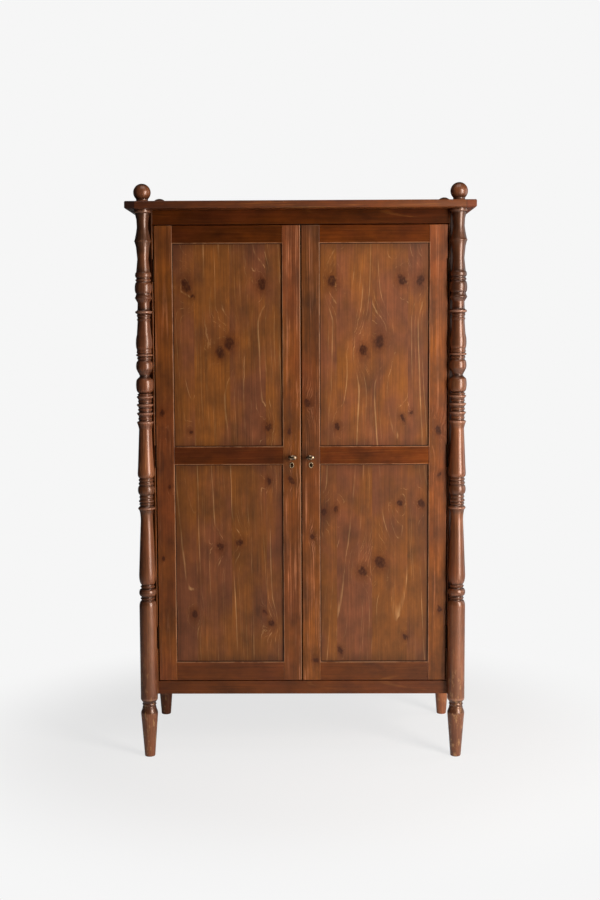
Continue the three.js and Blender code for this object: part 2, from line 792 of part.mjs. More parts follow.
// The catch is screwed behind the frieze, and its lower half stands behind both doors
function addCatch() {
  const friezeBack = frontY + railThickness;
  const friezeBottom = postHeight - friezeHeight;
  const catchBack = friezeBack + catchThickness;
  const faceY = doorBackY + seat + plateThickness + catchToPlate;
  const bottom = friezeBottom - catchDrop;
  const half = catchWidth / 2;
  addPart('magnetic_catch', joinAndCut([
    block(-half, half, friezeBack + seat, catchBack, friezeBottom + seat, bottom + catchHeight),
    block(-half, half, faceY, catchBack, bottom, friezeBottom + overrun),
  ]), 'plastic');
  const plateTop = doorTop - plateBelowTop;
  for (const side of sides) {
    const inner = doorInnerX + plateFromMeeting;
    addPart(`${side.name}_catch_plate`, block(side.sign * inner, side.sign * (inner + plateWidth),
      doorBackY + seat, doorBackY + seat + plateThickness, plateTop - plateHeight, plateTop), 'steel');
  }
}

addPostsAndFinials();
addTopBoard();
for (const end of ends) {
  for (const side of sides) {
    addCornerStile(end, side);
  }
}
for (const rail of frontRails) {
  addFrontRail(rail);
}
for (const side of sides) {
  addSideFrame(side);
}
addBackPanel();
for (const shelf of shelves) {
  addShelf(shelf);
}
for (const side of sides) {
  addDoor(side);
  for (const hinge of hinges) {
    addHinge(side, hinge.name, hinge.middleZ);
  }
  addKnob(side);
  addKeyPlate(side);
}
addLock();
addCatch();

export default armoire;
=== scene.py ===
# %% [markdown]
# # A television armoire in stained pine
#
# The cabinet's CAD model is the fixed frame: every board, post, hinge and lock part is already in its
# place, in metres, with +Z up and the doors facing -Y. This script dresses it. It gives the boards
# eased edges, turns the posts and finials finely, makes the small brass parts, and then finishes
# everything with node materials, a camera and a studio.

# %% Load the frame
import bisect
import json
import math
from functools import partial

import bmesh
import bpy
from mathutils import Euler, Matrix, Vector

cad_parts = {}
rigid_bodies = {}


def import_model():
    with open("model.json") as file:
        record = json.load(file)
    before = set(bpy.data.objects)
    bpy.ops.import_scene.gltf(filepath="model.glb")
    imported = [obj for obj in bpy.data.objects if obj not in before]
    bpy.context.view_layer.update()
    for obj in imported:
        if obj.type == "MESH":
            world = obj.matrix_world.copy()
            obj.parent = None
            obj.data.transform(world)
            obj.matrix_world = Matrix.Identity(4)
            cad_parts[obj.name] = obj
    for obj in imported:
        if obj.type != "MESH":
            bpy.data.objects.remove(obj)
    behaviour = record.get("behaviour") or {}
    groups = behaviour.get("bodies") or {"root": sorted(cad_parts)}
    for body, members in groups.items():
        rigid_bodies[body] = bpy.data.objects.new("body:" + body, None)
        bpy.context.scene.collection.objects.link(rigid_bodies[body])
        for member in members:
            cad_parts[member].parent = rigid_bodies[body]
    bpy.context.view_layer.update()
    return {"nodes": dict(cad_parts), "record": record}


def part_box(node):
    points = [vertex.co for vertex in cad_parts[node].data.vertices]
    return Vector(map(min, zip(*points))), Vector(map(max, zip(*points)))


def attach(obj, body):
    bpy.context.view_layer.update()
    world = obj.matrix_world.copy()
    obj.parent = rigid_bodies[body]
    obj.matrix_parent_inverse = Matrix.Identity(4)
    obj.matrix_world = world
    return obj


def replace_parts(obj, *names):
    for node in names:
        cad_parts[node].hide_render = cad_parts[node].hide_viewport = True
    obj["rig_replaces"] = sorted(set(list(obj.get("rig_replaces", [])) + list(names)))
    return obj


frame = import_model()
nodes = frame["nodes"]

# %% [markdown]
# ## Helpers for working by hand, in code
#
# Blender's operators act on whatever is selected, so each step starts from a clean selection and then
# picks what it needs. These few helpers do what a hand does: start a fresh piece, pick edges or faces
# by where they are, join or cut with another solid, and copy a piece to its other places.

# %% Selecting and making a piece
SIDES = (("left", -1), ("right", 1))
ENDS = (("front", -1), ("back", 1))
MM = 0.001


def only(*pieces):
    """Deselects everything else, and makes the first of the pieces the active one."""
    bpy.ops.object.select_all(action="DESELECT")
    for piece in pieces:
        piece.select_set(True)
    bpy.context.view_layer.objects.active = pieces[0]


def start(add, name, scale=(1, 1, 1), **settings):
    """A fresh primitive, drawn out by a scale, at the origin with its place in its mesh."""
    bpy.ops.object.select_all(action="DESELECT")
    add(**settings)
    piece = bpy.context.object
    piece.scale = scale
    bpy.ops.object.transform_apply(location=True, rotation=True, scale=True)
    piece.name = name
    piece.data.name = name
    return piece


def pick(piece, edges=None, faces=None):
    """In edit mode, selects the edges or faces for which the test holds, and says how many."""
    bpy.ops.mesh.select_mode(type="EDGE" if edges else "FACE")
    mesh = bmesh.from_edit_mesh(piece.data)
    for part in (*mesh.verts, *mesh.edges, *mesh.faces):
        part.select = False
    chosen = [part for part in (mesh.edges if edges else mesh.faces) if (edges or faces)(part)]
    for part in chosen:
        part.select = True
    bmesh.update_edit_mesh(piece.data)
    return len(chosen)


def combine(piece, other, operation):
    """Joins another solid to the piece, or cuts it away, and the other is gone."""
    only(piece)
    change = piece.modifiers.new("combine", "BOOLEAN")
    change.operation = operation
    change.object = other
    bpy.ops.object.modifier_apply(modifier=change.name)
    bpy.data.objects.remove(other)


def shade(piece, degrees=35):
    """Shades smoothly, apart from edges that turn by more than so many degrees."""
    only(piece)
    bpy.ops.object.shade_smooth_by_angle(angle=math.radians(degrees))


def copy_to(piece, name, place):
    """A copy with its own mesh, moved or mirrored by a matrix that goes into the mesh."""
    twin = bpy.data.objects.new(name, piece.data.copy())
    bpy.context.collection.objects.link(twin)
    twin.data.transform(place)
    if place.determinant() < 0:
        only(twin)
        bpy.ops.object.mode_set(mode="EDIT")
        bpy.ops.mesh.select_all(action="SELECT")
        bpy.ops.mesh.normals_make_consistent(inside=False)
        bpy.ops.object.mode_set(mode="OBJECT")
    twin.data.name = name
    return twin


def store_number(piece, name, numbers):
    """Stores one number a vertex, which a material can read by its name."""
    layer = piece.data.attributes.new(name, "FLOAT", "POINT")
    layer.data.foreach_set("value", numbers)


def dress(piece, body, slot, *replaced):
    """The piece rides on a body and stands for CAD nodes. slot is not used."""
    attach(piece, body)
    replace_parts(piece, *replaced)


def body_of(node):
    return next(body for body, parts in frame["record"]["behaviour"]["bodies"].items() if node in parts)


def slot_of(node):
    return next(part["material_slot"] for part in frame["record"]["subparts"] if part["node"] == node)


# %% [markdown]
# ## Boards with eased edges
#
# Every board on a real cabinet has had its sharp edges taken off with sandpaper, and it is these
# small rounds that catch the light along a frame and draw the dark line at a joint. The CAD boards
# are sharp. A copy of each is merged, its flat faces are joined up again, and its long square edges
# are bevelled in edit mode. The radius is a little larger round a door's panels, where the photograph
# shows a thin bright line. Each board also keeps how light or dark it came out, as one number a
# vertex.

# %% Ease the long edges of each board
EASE = 1.0 * MM
EASE_AT_PANELS = 1.6 * MM
LONG_EDGE = 18 * MM
SQUARE = math.radians(80)
BOARD_SLOTS = ("frame_pine", "panel_pine", "top_pine", "inside_pine")
# Lightness of each board at its foot and at its top. The others are plain.
BOARD_TONES = {
    "left_door_hinge_stile": (1.0, 0.94), "left_door_lock_stile": (0.88, 1.12),
    "right_door_lock_stile": (1.1, 0.62), "right_door_hinge_stile": (0.95, 1.3),
    "left_door_top_rail": (0.68, 0.68), "left_door_mid_rail": (0.69, 0.69),
    "right_door_top_rail": (0.97, 0.97), "right_door_mid_rail": (1.04, 1.04),
    "left_door_bottom_rail": (0.95, 0.95), "right_door_bottom_rail": (0.92, 0.92),
    "apron_rail": (0.92, 0.92), "frieze_rail": (0.66, 0.66), "top_board": (1.1, 1.1),
    "right_door_upper_panel": (1.14, 1.2), "left_door_lower_panel": (0.94, 0.94),
}


def is_arris(edge):
    return len(edge.link_faces) == 2 and edge.is_convex and edge.calc_face_angle() > SQUARE


def eased_copy(node, radius, shortest):
    """A copy of a CAD node whose outer square edges are rounded, apart from the shortest ones."""
    copy = bpy.data.objects.new(f"eased_{node}", nodes[node].data.copy())
    bpy.context.collection.objects.link(copy)
    only(copy)
    bpy.ops.object.mode_set(mode="EDIT")
    bpy.ops.mesh.select_all(action="SELECT")
    bpy.ops.mesh.remove_doubles(threshold=0.01 * MM)
    bpy.ops.mesh.dissolve_limited(angle_limit=math.radians(1))
    if pick(copy, edges=lambda edge: edge.calc_length() >= shortest and is_arris(edge)):
        bpy.ops.mesh.bevel(offset=radius, segments=3, profile=0.5, clamp_overlap=False)
    bpy.ops.object.mode_set(mode="OBJECT")
    copy.data.name = copy.name
    shade(copy)
    flat = copy.modifiers.new("flat faces stay flat", "WEIGHTED_NORMAL")
    flat.keep_sharp = True
    bpy.ops.object.modifier_apply(modifier=flat.name)
    dress(copy, body_of(node), slot_of(node), node)
    return copy


boards = [node for node in sorted(nodes) if slot_of(node) in BOARD_SLOTS]
for node in boards:
    round_a_panel = "_door_" in node and "panel" not in node
    board = eased_copy(node, EASE_AT_PANELS if round_a_panel else EASE, LONG_EDGE)
    foot, top = BOARD_TONES.get(node, (1, 1))
    low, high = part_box(node)
    store_number(board, "tone", [foot + (top - foot) * (vertex.co.z - low.z) / (high.z - low.z)
                                 for vertex in board.data.vertices])
print("eased boards:", len(boards))

# %% [markdown]
# ## Turned posts
#
# A post is spun on a lathe, and the turner works down a list of beads, coves and tapers. The same
# list is kept here, from the floor up. Each row is a point of the line as shares of the post's height
# and radius. A row that starts with a word is reached by a round bead or a hollow, and the others
# straight. Lacquer softens every corner of a turning, so each corner of the line is cut back by a
# fraction of a millimetre. The points are then joined by extruding one vertex after another, and the
# line is spun round the post's axis.

# %% The turning, from the floor up
POST_RADIUS = 29.2 * MM
POST_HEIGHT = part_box("post_front_left")[1].z
POST_X = (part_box("post_front_right")[0].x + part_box("post_front_right")[1].x) / 2
POST_Y = (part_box("post_back_right")[0].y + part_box("post_back_right")[1].y) / 2
FOOT_SHARE = 0.54
TURNING_SHARES = (
    (0.0011, 0.61), (0.0808, 0.995), (0.0838, 0.985), (0.0905, 0.82), ("round", 0.0948, 0.75),
    (0.0965, 0.76), (0.0985, 0.84), (0.1004, 0.76), (0.1025, 0.78), (0.1074, 1), (0.2813, 1),
    ("round", 0.2925, 0.72), (0.2938, 0.73), (0.2962, 0.86), (0.2985, 0.73), (0.3, 0.74),
    ("round", 0.307, 1), ("round", 0.3143, 0.72), (0.3155, 0.72), (0.3182, 0.86), (0.3208, 0.71),
    (0.3221, 0.712), ("round", 0.3392, 0.983), (0.4, 0.822), (0.4402, 0.702), ("hollow", 0.4606, 0.92),
    (0.4624, 0.99), (0.4642, 0.93), (0.4672, 0.74), (0.4688, 0.74), ("round", 0.4706, 0.83),
    ("round", 0.4724, 0.73), (0.4736, 0.73), ("round", 0.4758, 0.87), ("round", 0.4782, 0.76),
    (0.4812, 0.76), (0.4832, 0.84), (0.4852, 0.76), (0.488, 0.77), ("round", 0.4965, 0.966),
    ("round", 0.504, 0.8), (0.5056, 0.8), ("round", 0.5079, 0.885), ("round", 0.5103, 0.78), (0.5126, 0.78),
    ("round", 0.5147, 0.87), ("round", 0.5168, 0.77), (0.5185, 0.77), ("round", 0.526, 0.973),
    (0.5416, 0.914), (0.6066, 0.735), (0.6084, 0.75), (0.6134, 0.82), (0.6192, 0.95), (0.6208, 0.93),
    (0.622, 0.74), (0.624, 0.73), ("round", 0.6262, 0.8), ("round", 0.6284, 0.73), (0.6312, 0.77),
    (0.6352, 0.95), (0.6368, 0.93), (0.638, 0.73), (0.6402, 0.72), ("round", 0.6425, 0.82),
    ("round", 0.6448, 0.72), (0.647, 0.77), (0.6508, 0.965), (0.6524, 0.94), (0.6536, 0.74), (0.6556, 0.73),
    ("round", 0.6578, 0.8), ("round", 0.6598, 0.74), (0.6622, 0.8), (0.6652, 0.955), (0.6668, 0.93),
    (0.6678, 0.78), (0.6688, 0.78), ("round", 0.67, 0.86), ("round", 0.6712, 0.78), (0.6718, 0.68),
    (0.6742, 0.8), ("round", 0.6875, 1), ("round", 0.698, 0.86), (0.7017, 0.62), (0.7037, 0.56),
    (0.7075, 0.66), (0.711, 0.79), (0.7146, 0.885), ("round", 0.7215, 0.965), ("round", 0.7305, 0.78),
    (0.7322, 0.75), (0.7334, 0.74), ("round", 0.7356, 0.83), ("round", 0.7378, 0.75), (0.7388, 0.76),
    ("round", 0.741, 0.955), ("round", 0.7432, 0.8), (0.7444, 0.8), ("round", 0.7462, 0.88),
    ("round", 0.748, 0.84), (0.752, 0.846), ("round", 0.7633, 0.952), (0.7703, 0.925), (0.7783, 0.822),
    (0.7966, 0.736), (0.8025, 0.72), (0.8046, 0.81), (0.8064, 0.72), (0.8098, 0.72), ("round", 0.8122, 0.8),
    ("round", 0.814, 0.73), (0.8148, 0.76), (0.8168, 0.97), (0.8194, 0.97), (0.8212, 0.76), (0.8229, 0.712),
    (0.8352, 0.685), (0.8418, 0.93), (0.8436, 1), (0.8454, 0.93), (0.8513, 0.815), ("round", 0.8604, 0.99),
    ("round", 0.8718, 0.8), (0.873, 0.79), ("round", 0.8752, 0.89), ("round", 0.8774, 0.79), (0.8796, 0.79),
    ("round", 0.884, 0.93), ("round", 0.889, 0.81), (0.8927, 0.775), (0.9125, 0.644), (0.934, 0.77),
    (0.9425, 0.91), (0.9446, 0.985), (0.9467, 0.91), (0.9582, 0.753), (0.9689, 0.647), (0.9823, 0.685),
    (0.992, 0.82), (0.9935, 0.82), (0.9953, 0.976), (1, 0.976),
)
CURVE_STEPS = 6
CORNER_CUT = 0.7 * MM
MOST_OF_SIDE = 0.3
LONGEST_STEP = 12 * MM


def along_curve(curve, start, end, share):
    turn = share * math.pi / 2
    leaves_level = (curve == "round") == (end[0] > start[0])
    outward = math.sin(turn) if leaves_level else 1 - math.cos(turn)
    upward = 1 - math.cos(turn) if leaves_level else math.sin(turn)
    return start[0] + (end[0] - start[0]) * outward, start[1] + (end[1] - start[1]) * upward


def turned_line():
    line = [(0, 0), (POST_RADIUS * FOOT_SHARE, 0)]
    for *curve, height_share, radius_share in TURNING_SHARES:
        begin = line[-1]
        end = (POST_RADIUS * radius_share, POST_HEIGHT * height_share)
        if curve:
            line += [along_curve(*curve, begin, end, step / CURVE_STEPS) for step in range(1, CURVE_STEPS)]
        line.append(end)
    return line


def cut_corners(line, cut):
    """Swaps each corner for two points, a short way back along its two sides."""
    soft = [Vector(line[0])]
    for before, corner, after in zip(line, line[1:], line[2:]):
        for other in (before, after):
            side = Vector(other) - Vector(corner)
            soft.append(Vector(corner) + side * min(MOST_OF_SIDE, cut / max(side.length, cut)))
    soft.append(Vector(line[-1]))
    return soft


def divide_long(line, reach):
    """Adds points on long straight parts, so that what is stored at a corner stays near it."""
    divided = [line[0]]
    for begin, end in zip(line, line[1:]):
        parts = max(1, round((end - begin).length / reach))
        divided += [begin.lerp(end, part / parts) for part in range(1, parts + 1)]
    return divided


post_line = divide_long(cut_corners(turned_line(), CORNER_CUT), LONGEST_STEP) + [Vector((0, POST_HEIGHT))]
print("points on the turned line:", len(post_line))

# %% Extrude the line and spin it
POST_STEPS = 48


def spun(name, line, steps, centre=(0, 0)):
    """Draws a line of (radius, height) points by extruding a vertex, and spins it round +Z."""
    piece = start(bpy.ops.mesh.primitive_circle_add, name, vertices=3, radius=MM,
                  location=(centre[0] + line[0][0], centre[1], line[0][1]))
    bpy.ops.object.mode_set(mode="EDIT")
    bpy.ops.mesh.select_mode(type="VERT")
    bpy.ops.mesh.select_all(action="SELECT")
    bpy.ops.mesh.merge(type="CENTER")
    for begin, end in zip(line, line[1:]):
        step = (end[0] - begin[0], 0, end[1] - begin[1])
        bpy.ops.mesh.extrude_vertices_move(TRANSFORM_OT_translate={"value": step})
    bpy.ops.mesh.select_all(action="SELECT")
    bpy.ops.mesh.spin(steps=steps, angle=2 * math.pi, center=(*centre, 0), axis=(0, 0, 1))
    bpy.ops.mesh.select_all(action="SELECT")
    bpy.ops.mesh.remove_doubles(threshold=0.005 * MM)
    bpy.ops.mesh.normals_make_consistent(inside=False)
    bpy.ops.object.mode_set(mode="OBJECT")
    return piece


post = spun("turned_post_front_left", post_line, POST_STEPS, centre=(-POST_X, -POST_Y))
shade(post, 40)
print("one post:", len(post.data.polygons), "faces")

# %% [markdown]
# ## Painted shade in the coves and a painted highlight on the crowns
#
# The coves of a turning and the feet of its beads are painted darker, as painted shade, and the
# crowns paler, as a painted highlight. How much depends only on the turned line: how far each point
# lies inside or outside the radii near it. It is stored on the mesh as one number a vertex, which the
# material reads. A second number says how light each zone of a post came out, which is read off the
# photograph for the front posts.

# %% Stand a post in each corner
COVE_REACH = 11 * MM
COVE_DEPTH = 5 * MM
TURNING_ZONES = (0.155, 0.1998, 0.53, 0.605, 0.865, 0.962, 1.15, 1.41, 1.56, 1.72)
POST_TONES = {("front", "left"): (1.2, 0.52, 0.96, 0.7, 0.98, 0.66, 1.18, 1.08, 0.78, 0.8, 0.4),
              ("front", "right"): (0.94, 0.52, 1.12, 0.8, 1.04, 0.7, 1.14, 0.92, 0.64, 0.36, 0.44),
              ("back", "left"): (1.08, 0.6, 1.0, 0.8, 1.0, 0.8, 1.0, 0.9, 0.7, 0.6, 0.5),
              ("back", "right"): (2.1, 0.6, 1.1, 0.8, 1.0, 0.8, 1.0, 0.9, 0.7, 0.6, 0.5)}


def store_coves(piece, line):
    """Stores how deep each vertex lies in a cove, from -1 on a crown to 1 in a deep one."""
    outer = [point for point in line if point[0] > 0]
    depths = {}
    for radius, height in outer:
        near = [other[0] for other in outer if abs(other[1] - height) < COVE_REACH]
        inward = (max(near) + sum(near) / len(near)) / 2 - radius
        depths[round(height / MM, 2)] = min(1, max(-1, inward / COVE_DEPTH))
    store_number(piece, "cove", [depths.get(round(vertex.co.z / MM, 2), 0)
                                 for vertex in piece.data.vertices])


def in_each_corner(model, kind, node_kind):
    """Dresses the front left model and a copy of it in every other corner, and gives all four."""
    pieces = {("front", "left"): model}
    for end, end_sign in ENDS:
        for side, side_sign in SIDES:
            if (end, side) not in pieces:
                step = Matrix.Translation((POST_X * (side_sign + 1), POST_Y * (end_sign + 1), 0))
                pieces[end, side] = copy_to(model, f"{kind}_{end}_{side}", step)
            dress(pieces[end, side], "carcass", "turned_pine", f"{node_kind}_{end}_{side}")
    return pieces


store_coves(post, post_line)
for corner, piece in in_each_corner(post, "turned_post", "post").items():
    store_number(piece, "tone", [POST_TONES[corner][bisect.bisect(TURNING_ZONES, vertex.co.z)]
                                 for vertex in piece.data.vertices])

# %% [markdown]
# ## Ball finials
#
# Each ball is turned in one piece with a short neck that stands on the board, and a dowel below it
# goes through the board into the post. The neck meets the ball in a small cove, so the line goes up
# the dowel, out to the neck, in along the cove and round the ball.

# %% Turn one finial and copy it
BALL_RADIUS = 29 * MM
NECK_RADIUS = 21 * MM
DOWEL_RADIUS = 8 * MM
BOARD_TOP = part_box("top_board")[1].z
BALL_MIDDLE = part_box("finial_front_left")[1].z - BALL_RADIUS
DOWEL_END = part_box("finial_front_left")[0].z
SEAT = 0.1 * MM
BALL_STEPS = 22
BALL_TONE = 1.25

neck_meets_ball = math.acos(0.97 * NECK_RADIUS / BALL_RADIUS)
finial_line = [
    (0, DOWEL_END), (0.8 * DOWEL_RADIUS, DOWEL_END), (DOWEL_RADIUS, DOWEL_END + 1.5 * MM),
    (DOWEL_RADIUS, BOARD_TOP + SEAT), (0.97 * NECK_RADIUS, BOARD_TOP + SEAT),
    (NECK_RADIUS, BOARD_TOP + SEAT + 0.6 * MM), (NECK_RADIUS, BOARD_TOP + 3.5 * MM),
    (0.93 * NECK_RADIUS, BOARD_TOP + 6 * MM),
]
for step in range(BALL_STEPS):
    rise = -neck_meets_ball + (math.pi / 2 + neck_meets_ball) * step / BALL_STEPS
    finial_line.append((BALL_RADIUS * math.cos(rise), BALL_MIDDLE + BALL_RADIUS * math.sin(rise)))
finial_line.append((0, BALL_MIDDLE + BALL_RADIUS))

finial = spun("ball_finial_front_left", finial_line, POST_STEPS, centre=(-POST_X, -POST_Y))
shade(finial, 40)
store_coves(finial, finial_line)
store_number(finial, "tone", [BALL_TONE] * len(finial.data.vertices))
in_each_corner(finial, "ball_finial", "finial")
print("finial:", len(finial.data.polygons), "faces")

# %% [markdown]
# ## Knobs and key plates
#
# The knobs are cast brass: a flattened oval head, wider than it is tall, on a stem that flares to a
# round collar. The stem is spun as the posts are, and the head is a sphere drawn out to three sizes.
# Both are joined by a boolean, so that the knob is one casting.

# %% The knob
KNOB_LOW, KNOB_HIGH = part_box("right_knob")
KNOB_X = (KNOB_LOW.x + KNOB_HIGH.x) / 2
KNOB_Z = (KNOB_LOW.z + KNOB_HIGH.z) / 2
DOOR_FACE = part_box("right_door_lock_stile")[0].y
KNOB_REACH = DOOR_FACE - KNOB_LOW.y
HEAD_DEEP = 16 * MM
STUD = KNOB_HIGH.y - DOOR_FACE
MIRROR = Matrix.Scale(-1, 4, (1, 0, 0))

stem_line = [(0, -STUD)] + [(radius * MM, height * MM) for radius, height in (
    (2, -8), (2, 0.1), (7.4, 0.1), (8, 0.5), (8, 1.2), (7.6, 1.9), (6.4, 2.7), (5.2, 4.2), (4.5, 6.5),
    (4.2, 9), (4.4, 12), (5.2, 15), (6, 18))] + [(0, 18 * MM)]
knob = spun("brass_knob_right", stem_line, 32)
head = start(bpy.ops.mesh.primitive_uv_sphere_add, "knob_head",
             ((KNOB_HIGH.x - KNOB_LOW.x) / 2, (KNOB_HIGH.z - KNOB_LOW.z) / 2, HEAD_DEEP / 2),
             segments=40, ring_count=24, radius=1, location=(0, 0, KNOB_REACH - HEAD_DEEP / 2))
combine(knob, head, "UNION")
shade(knob, 30)
knob.data.transform(Matrix.Translation((KNOB_X, DOOR_FACE, KNOB_Z)) @ Matrix.Rotation(math.pi / 2, 4, "X"))
dress(knob, "right_door", "knob_brass", "right_knob")
dress(copy_to(knob, "brass_knob_left", MIRROR), "left_door", "knob_brass", "left_knob")
print("knob:", len(knob.data.polygons), "faces")

# %% [markdown]
# The key plate under each knob is a small oval stamping with a raised rim, pinned flat to the stile.
# It starts as a cylinder drawn out to an oval. Its front face is inset for the rim, the middle is
# pressed back, and the keyhole is cut right through with a boolean. The mesh keeps which part is
# pressed back, because polish doesn't reach it.

# %% The key plate
PLATE_LOW, PLATE_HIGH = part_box("right_key_plate")
PLATE_CENTRE = (PLATE_LOW + PLATE_HIGH) / 2
PLATE_SIZE = PLATE_HIGH - PLATE_LOW
TO_FRONT = (math.pi / 2, 0, 0)
RIM = 2.8 * MM
PRESSED_BACK = 0.5 * MM
RIM_ROUND = 0.9 * MM
KEY_ROUND = 2.2 * MM
KEY_SLOT = (2.4 * MM, 6 * MM)
CUT_DEPTH = 8 * MM


def faces_front(face):
    return face.normal.y < -0.9


def is_pressed_back(place):
    across = (place.x - PLATE_CENTRE.x) / (PLATE_SIZE.x / 2 - RIM)
    upward = (place.z - PLATE_CENTRE.z) / (PLATE_SIZE.z / 2 - RIM)
    return place.y > PLATE_LOW.y + 0.8 * PRESSED_BACK and math.hypot(across, upward) < 1


plate = start(bpy.ops.mesh.primitive_cylinder_add, "key_plate_right",
              (PLATE_SIZE.x / 2, PLATE_SIZE.z / 2, PLATE_SIZE.y),
              vertices=40, radius=1, depth=1, location=PLATE_CENTRE, rotation=TO_FRONT)
bpy.ops.object.mode_set(mode="EDIT")
pick(plate, faces=faces_front)
bpy.ops.mesh.bevel(offset=RIM_ROUND, segments=3, profile=0.5, affect="EDGES")
pick(plate, faces=lambda face: faces_front(face) and len(face.verts) > 30)
bpy.ops.mesh.inset(thickness=RIM - RIM_ROUND - PRESSED_BACK)
bpy.ops.mesh.inset(thickness=PRESSED_BACK, depth=-PRESSED_BACK)
bpy.ops.object.mode_set(mode="OBJECT")

# %% Cut the keyhole
keyhole = start(bpy.ops.mesh.primitive_cylinder_add, "keyhole", vertices=24, radius=KEY_ROUND,
                depth=CUT_DEPTH, location=PLATE_CENTRE, rotation=TO_FRONT)
key_slot = start(bpy.ops.mesh.primitive_cube_add, "key_slot", (KEY_SLOT[0], CUT_DEPTH, KEY_SLOT[1]),
                 size=1, location=PLATE_CENTRE - Vector((0, 0, KEY_SLOT[1] / 2)))
for cutter in (keyhole, key_slot):
    combine(plate, cutter, "DIFFERENCE")
shade(plate, 30)
store_number(plate, "hollow", [float(is_pressed_back(vertex.co)) for vertex in plate.data.vertices])
dress(plate, "right_door", "knob_brass", "right_key_plate")
dress(copy_to(plate, "key_plate_left", MIRROR), "left_door", "knob_brass", "left_key_plate")
print("key plate:", len(plate.data.polygons), "faces")

# %% [markdown]
# ## Butt hinges
#
# Each door hangs on three butt hinges. The leaves are pressed plates let into the gap, rolled round a
# pin in three knuckles, two on the frame's leaf and one on the door's. They are fixed with countersunk
# slotted screws whose heads lie flush. A screw head is made first: a cylinder with its rim bevelled
# and a slot cut across it.

# %% One screw head
SCREW_RADIUS = 3 * MM
SCREW_PROUD = 0.2 * MM
SLOT_WIDTH = 0.9 * MM

screw = start(bpy.ops.mesh.primitive_cylinder_add, "screw", vertices=24, radius=SCREW_RADIUS,
              depth=2 * SCREW_PROUD, location=(0, 0, 0))
bpy.ops.object.mode_set(mode="EDIT")
pick(screw, faces=lambda face: face.normal.z > 0.9)
bpy.ops.mesh.bevel(offset=0.1 * MM, segments=2, profile=0.5, affect="EDGES")
bpy.ops.object.mode_set(mode="OBJECT")
driver_slot = start(bpy.ops.mesh.primitive_cube_add, "driver_slot",
                    (SLOT_WIDTH, 3 * SCREW_RADIUS, 1.4 * SCREW_PROUD), size=1,
                    location=(0, 0, SCREW_PROUD))
combine(screw, driver_slot, "DIFFERENCE")
print("screw:", len(screw.data.polygons), "faces")

# %% [markdown]
# A leaf is a thin block with bevelled edges. Its knuckles are spun round the pin like any turned
# piece, and a narrow strip ties each one to the leaf. The strips, knuckles, leaf and screws are joined
# into one object. One frame leaf and one door leaf are made for the right door's top hinge, and
# every other hinge is a copy that is moved down or mirrored.

# %% Make the two halves of a hinge
LEAF = Vector((1.6, 19, 76)) * MM
BARREL_RADIUS = 3.2 * MM
LEAF_EASE = 0.3 * MM
STRIP_EASE = 0.2 * MM
LEAF_OFF_PIN = 0.3 * MM
KNUCKLE_GAP = 0.3 * MM
SCREW_SPREAD = 27 * MM
SCREW_TURNS = ((-1, 0.5), (0, 1.3), (1, -0.4))


def plain_block(name, low, high, ease):
    block = start(bpy.ops.mesh.primitive_cube_add, name, Vector(high) - Vector(low), size=1,
                  location=(Vector(low) + Vector(high)) / 2)
    bpy.ops.object.mode_set(mode="EDIT")
    bpy.ops.mesh.select_all(action="SELECT")
    bpy.ops.mesh.bevel(offset=ease, segments=2, profile=0.5, affect="EDGES")
    bpy.ops.object.mode_set(mode="OBJECT")
    return block


def hinge_half(node, knuckles, towards):
    """towards is the way that the leaf's screws face, -1 for inwards and 1 for outwards."""
    low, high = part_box(node)
    pin = Vector(((low.x + high.x) / 2, low.y + BARREL_RADIUS, 0))
    face_x = pin.x - towards * LEAF_OFF_PIN
    near_x, far_x = sorted((face_x, face_x - towards * LEAF.x))
    front = high.y - LEAF.y
    pieces = [plain_block("leaf", (near_x, front, low.z), (far_x, high.y, high.z), LEAF_EASE)]
    for bottom, top in knuckles:
        z0 = low.z + bottom * LEAF.z + (KNUCKLE_GAP if bottom > 0.5 else 0)
        z1 = low.z + top * LEAF.z - (KNUCKLE_GAP if top < 0.5 else 0)
        rolled = [(0, z0), (0.9 * BARREL_RADIUS, z0), (BARREL_RADIUS, z0 + LEAF_EASE),
                  (BARREL_RADIUS, z1 - LEAF_EASE), (0.9 * BARREL_RADIUS, z1), (0, z1)]
        pieces.append(spun("knuckle", rolled, 28, centre=(pin.x, pin.y)))
        pieces.append(plain_block("strip", (near_x, pin.y, z0), (far_x, front + MM, z1), STRIP_EASE))
    for index, turn in SCREW_TURNS:
        middle = Vector((face_x, high.y - LEAF.y / 2, (low.z + high.z) / 2 + index * SCREW_SPREAD))
        tilt = Matrix.Rotation(towards * math.pi / 2, 4, "Y") @ Matrix.Rotation(turn, 4, "Z")
        pieces.append(copy_to(screw, "screw_head", Matrix.Translation(middle) @ tilt))
    only(*pieces)
    bpy.ops.object.join()
    shade(pieces[0], 35)
    return pieces[0]


hinge_halves = {
    "frame_leaf": hinge_half("right_hinge_top_frame_leaf", ((0, 1 / 3), (2 / 3, 1)), -1),
    "door_leaf": hinge_half("right_hinge_top_door_leaf", ((1 / 3, 2 / 3),), 1),
}
bpy.data.objects.remove(screw)

# %% Hang every hinge
for half, model in hinge_halves.items():
    top_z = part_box(f"right_hinge_top_{half}")[0].z
    for height in ("middle", "bottom", "top"):
        drop = Matrix.Translation((0, 0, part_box(f"right_hinge_{height}_{half}")[0].z - top_z))
        for side, flip in (("left", MIRROR), ("right", Matrix.Identity(4))):
            node = f"{side}_hinge_{height}_{half}"
            last = (side, height) == ("right", "top")
            piece = model if last else copy_to(model, f"butt_{node}", flip @ drop)
            piece.name = f"butt_{node}"
            dress(piece, body_of(node), slot_of(node), node)

# %% [markdown]
# ## Lock, bolt and catch
#
# These few parts sit behind the doors and keep their CAD shape. A copy of each gets the small eased
# edges that folded steel, sawn brass and moulded plastic have.

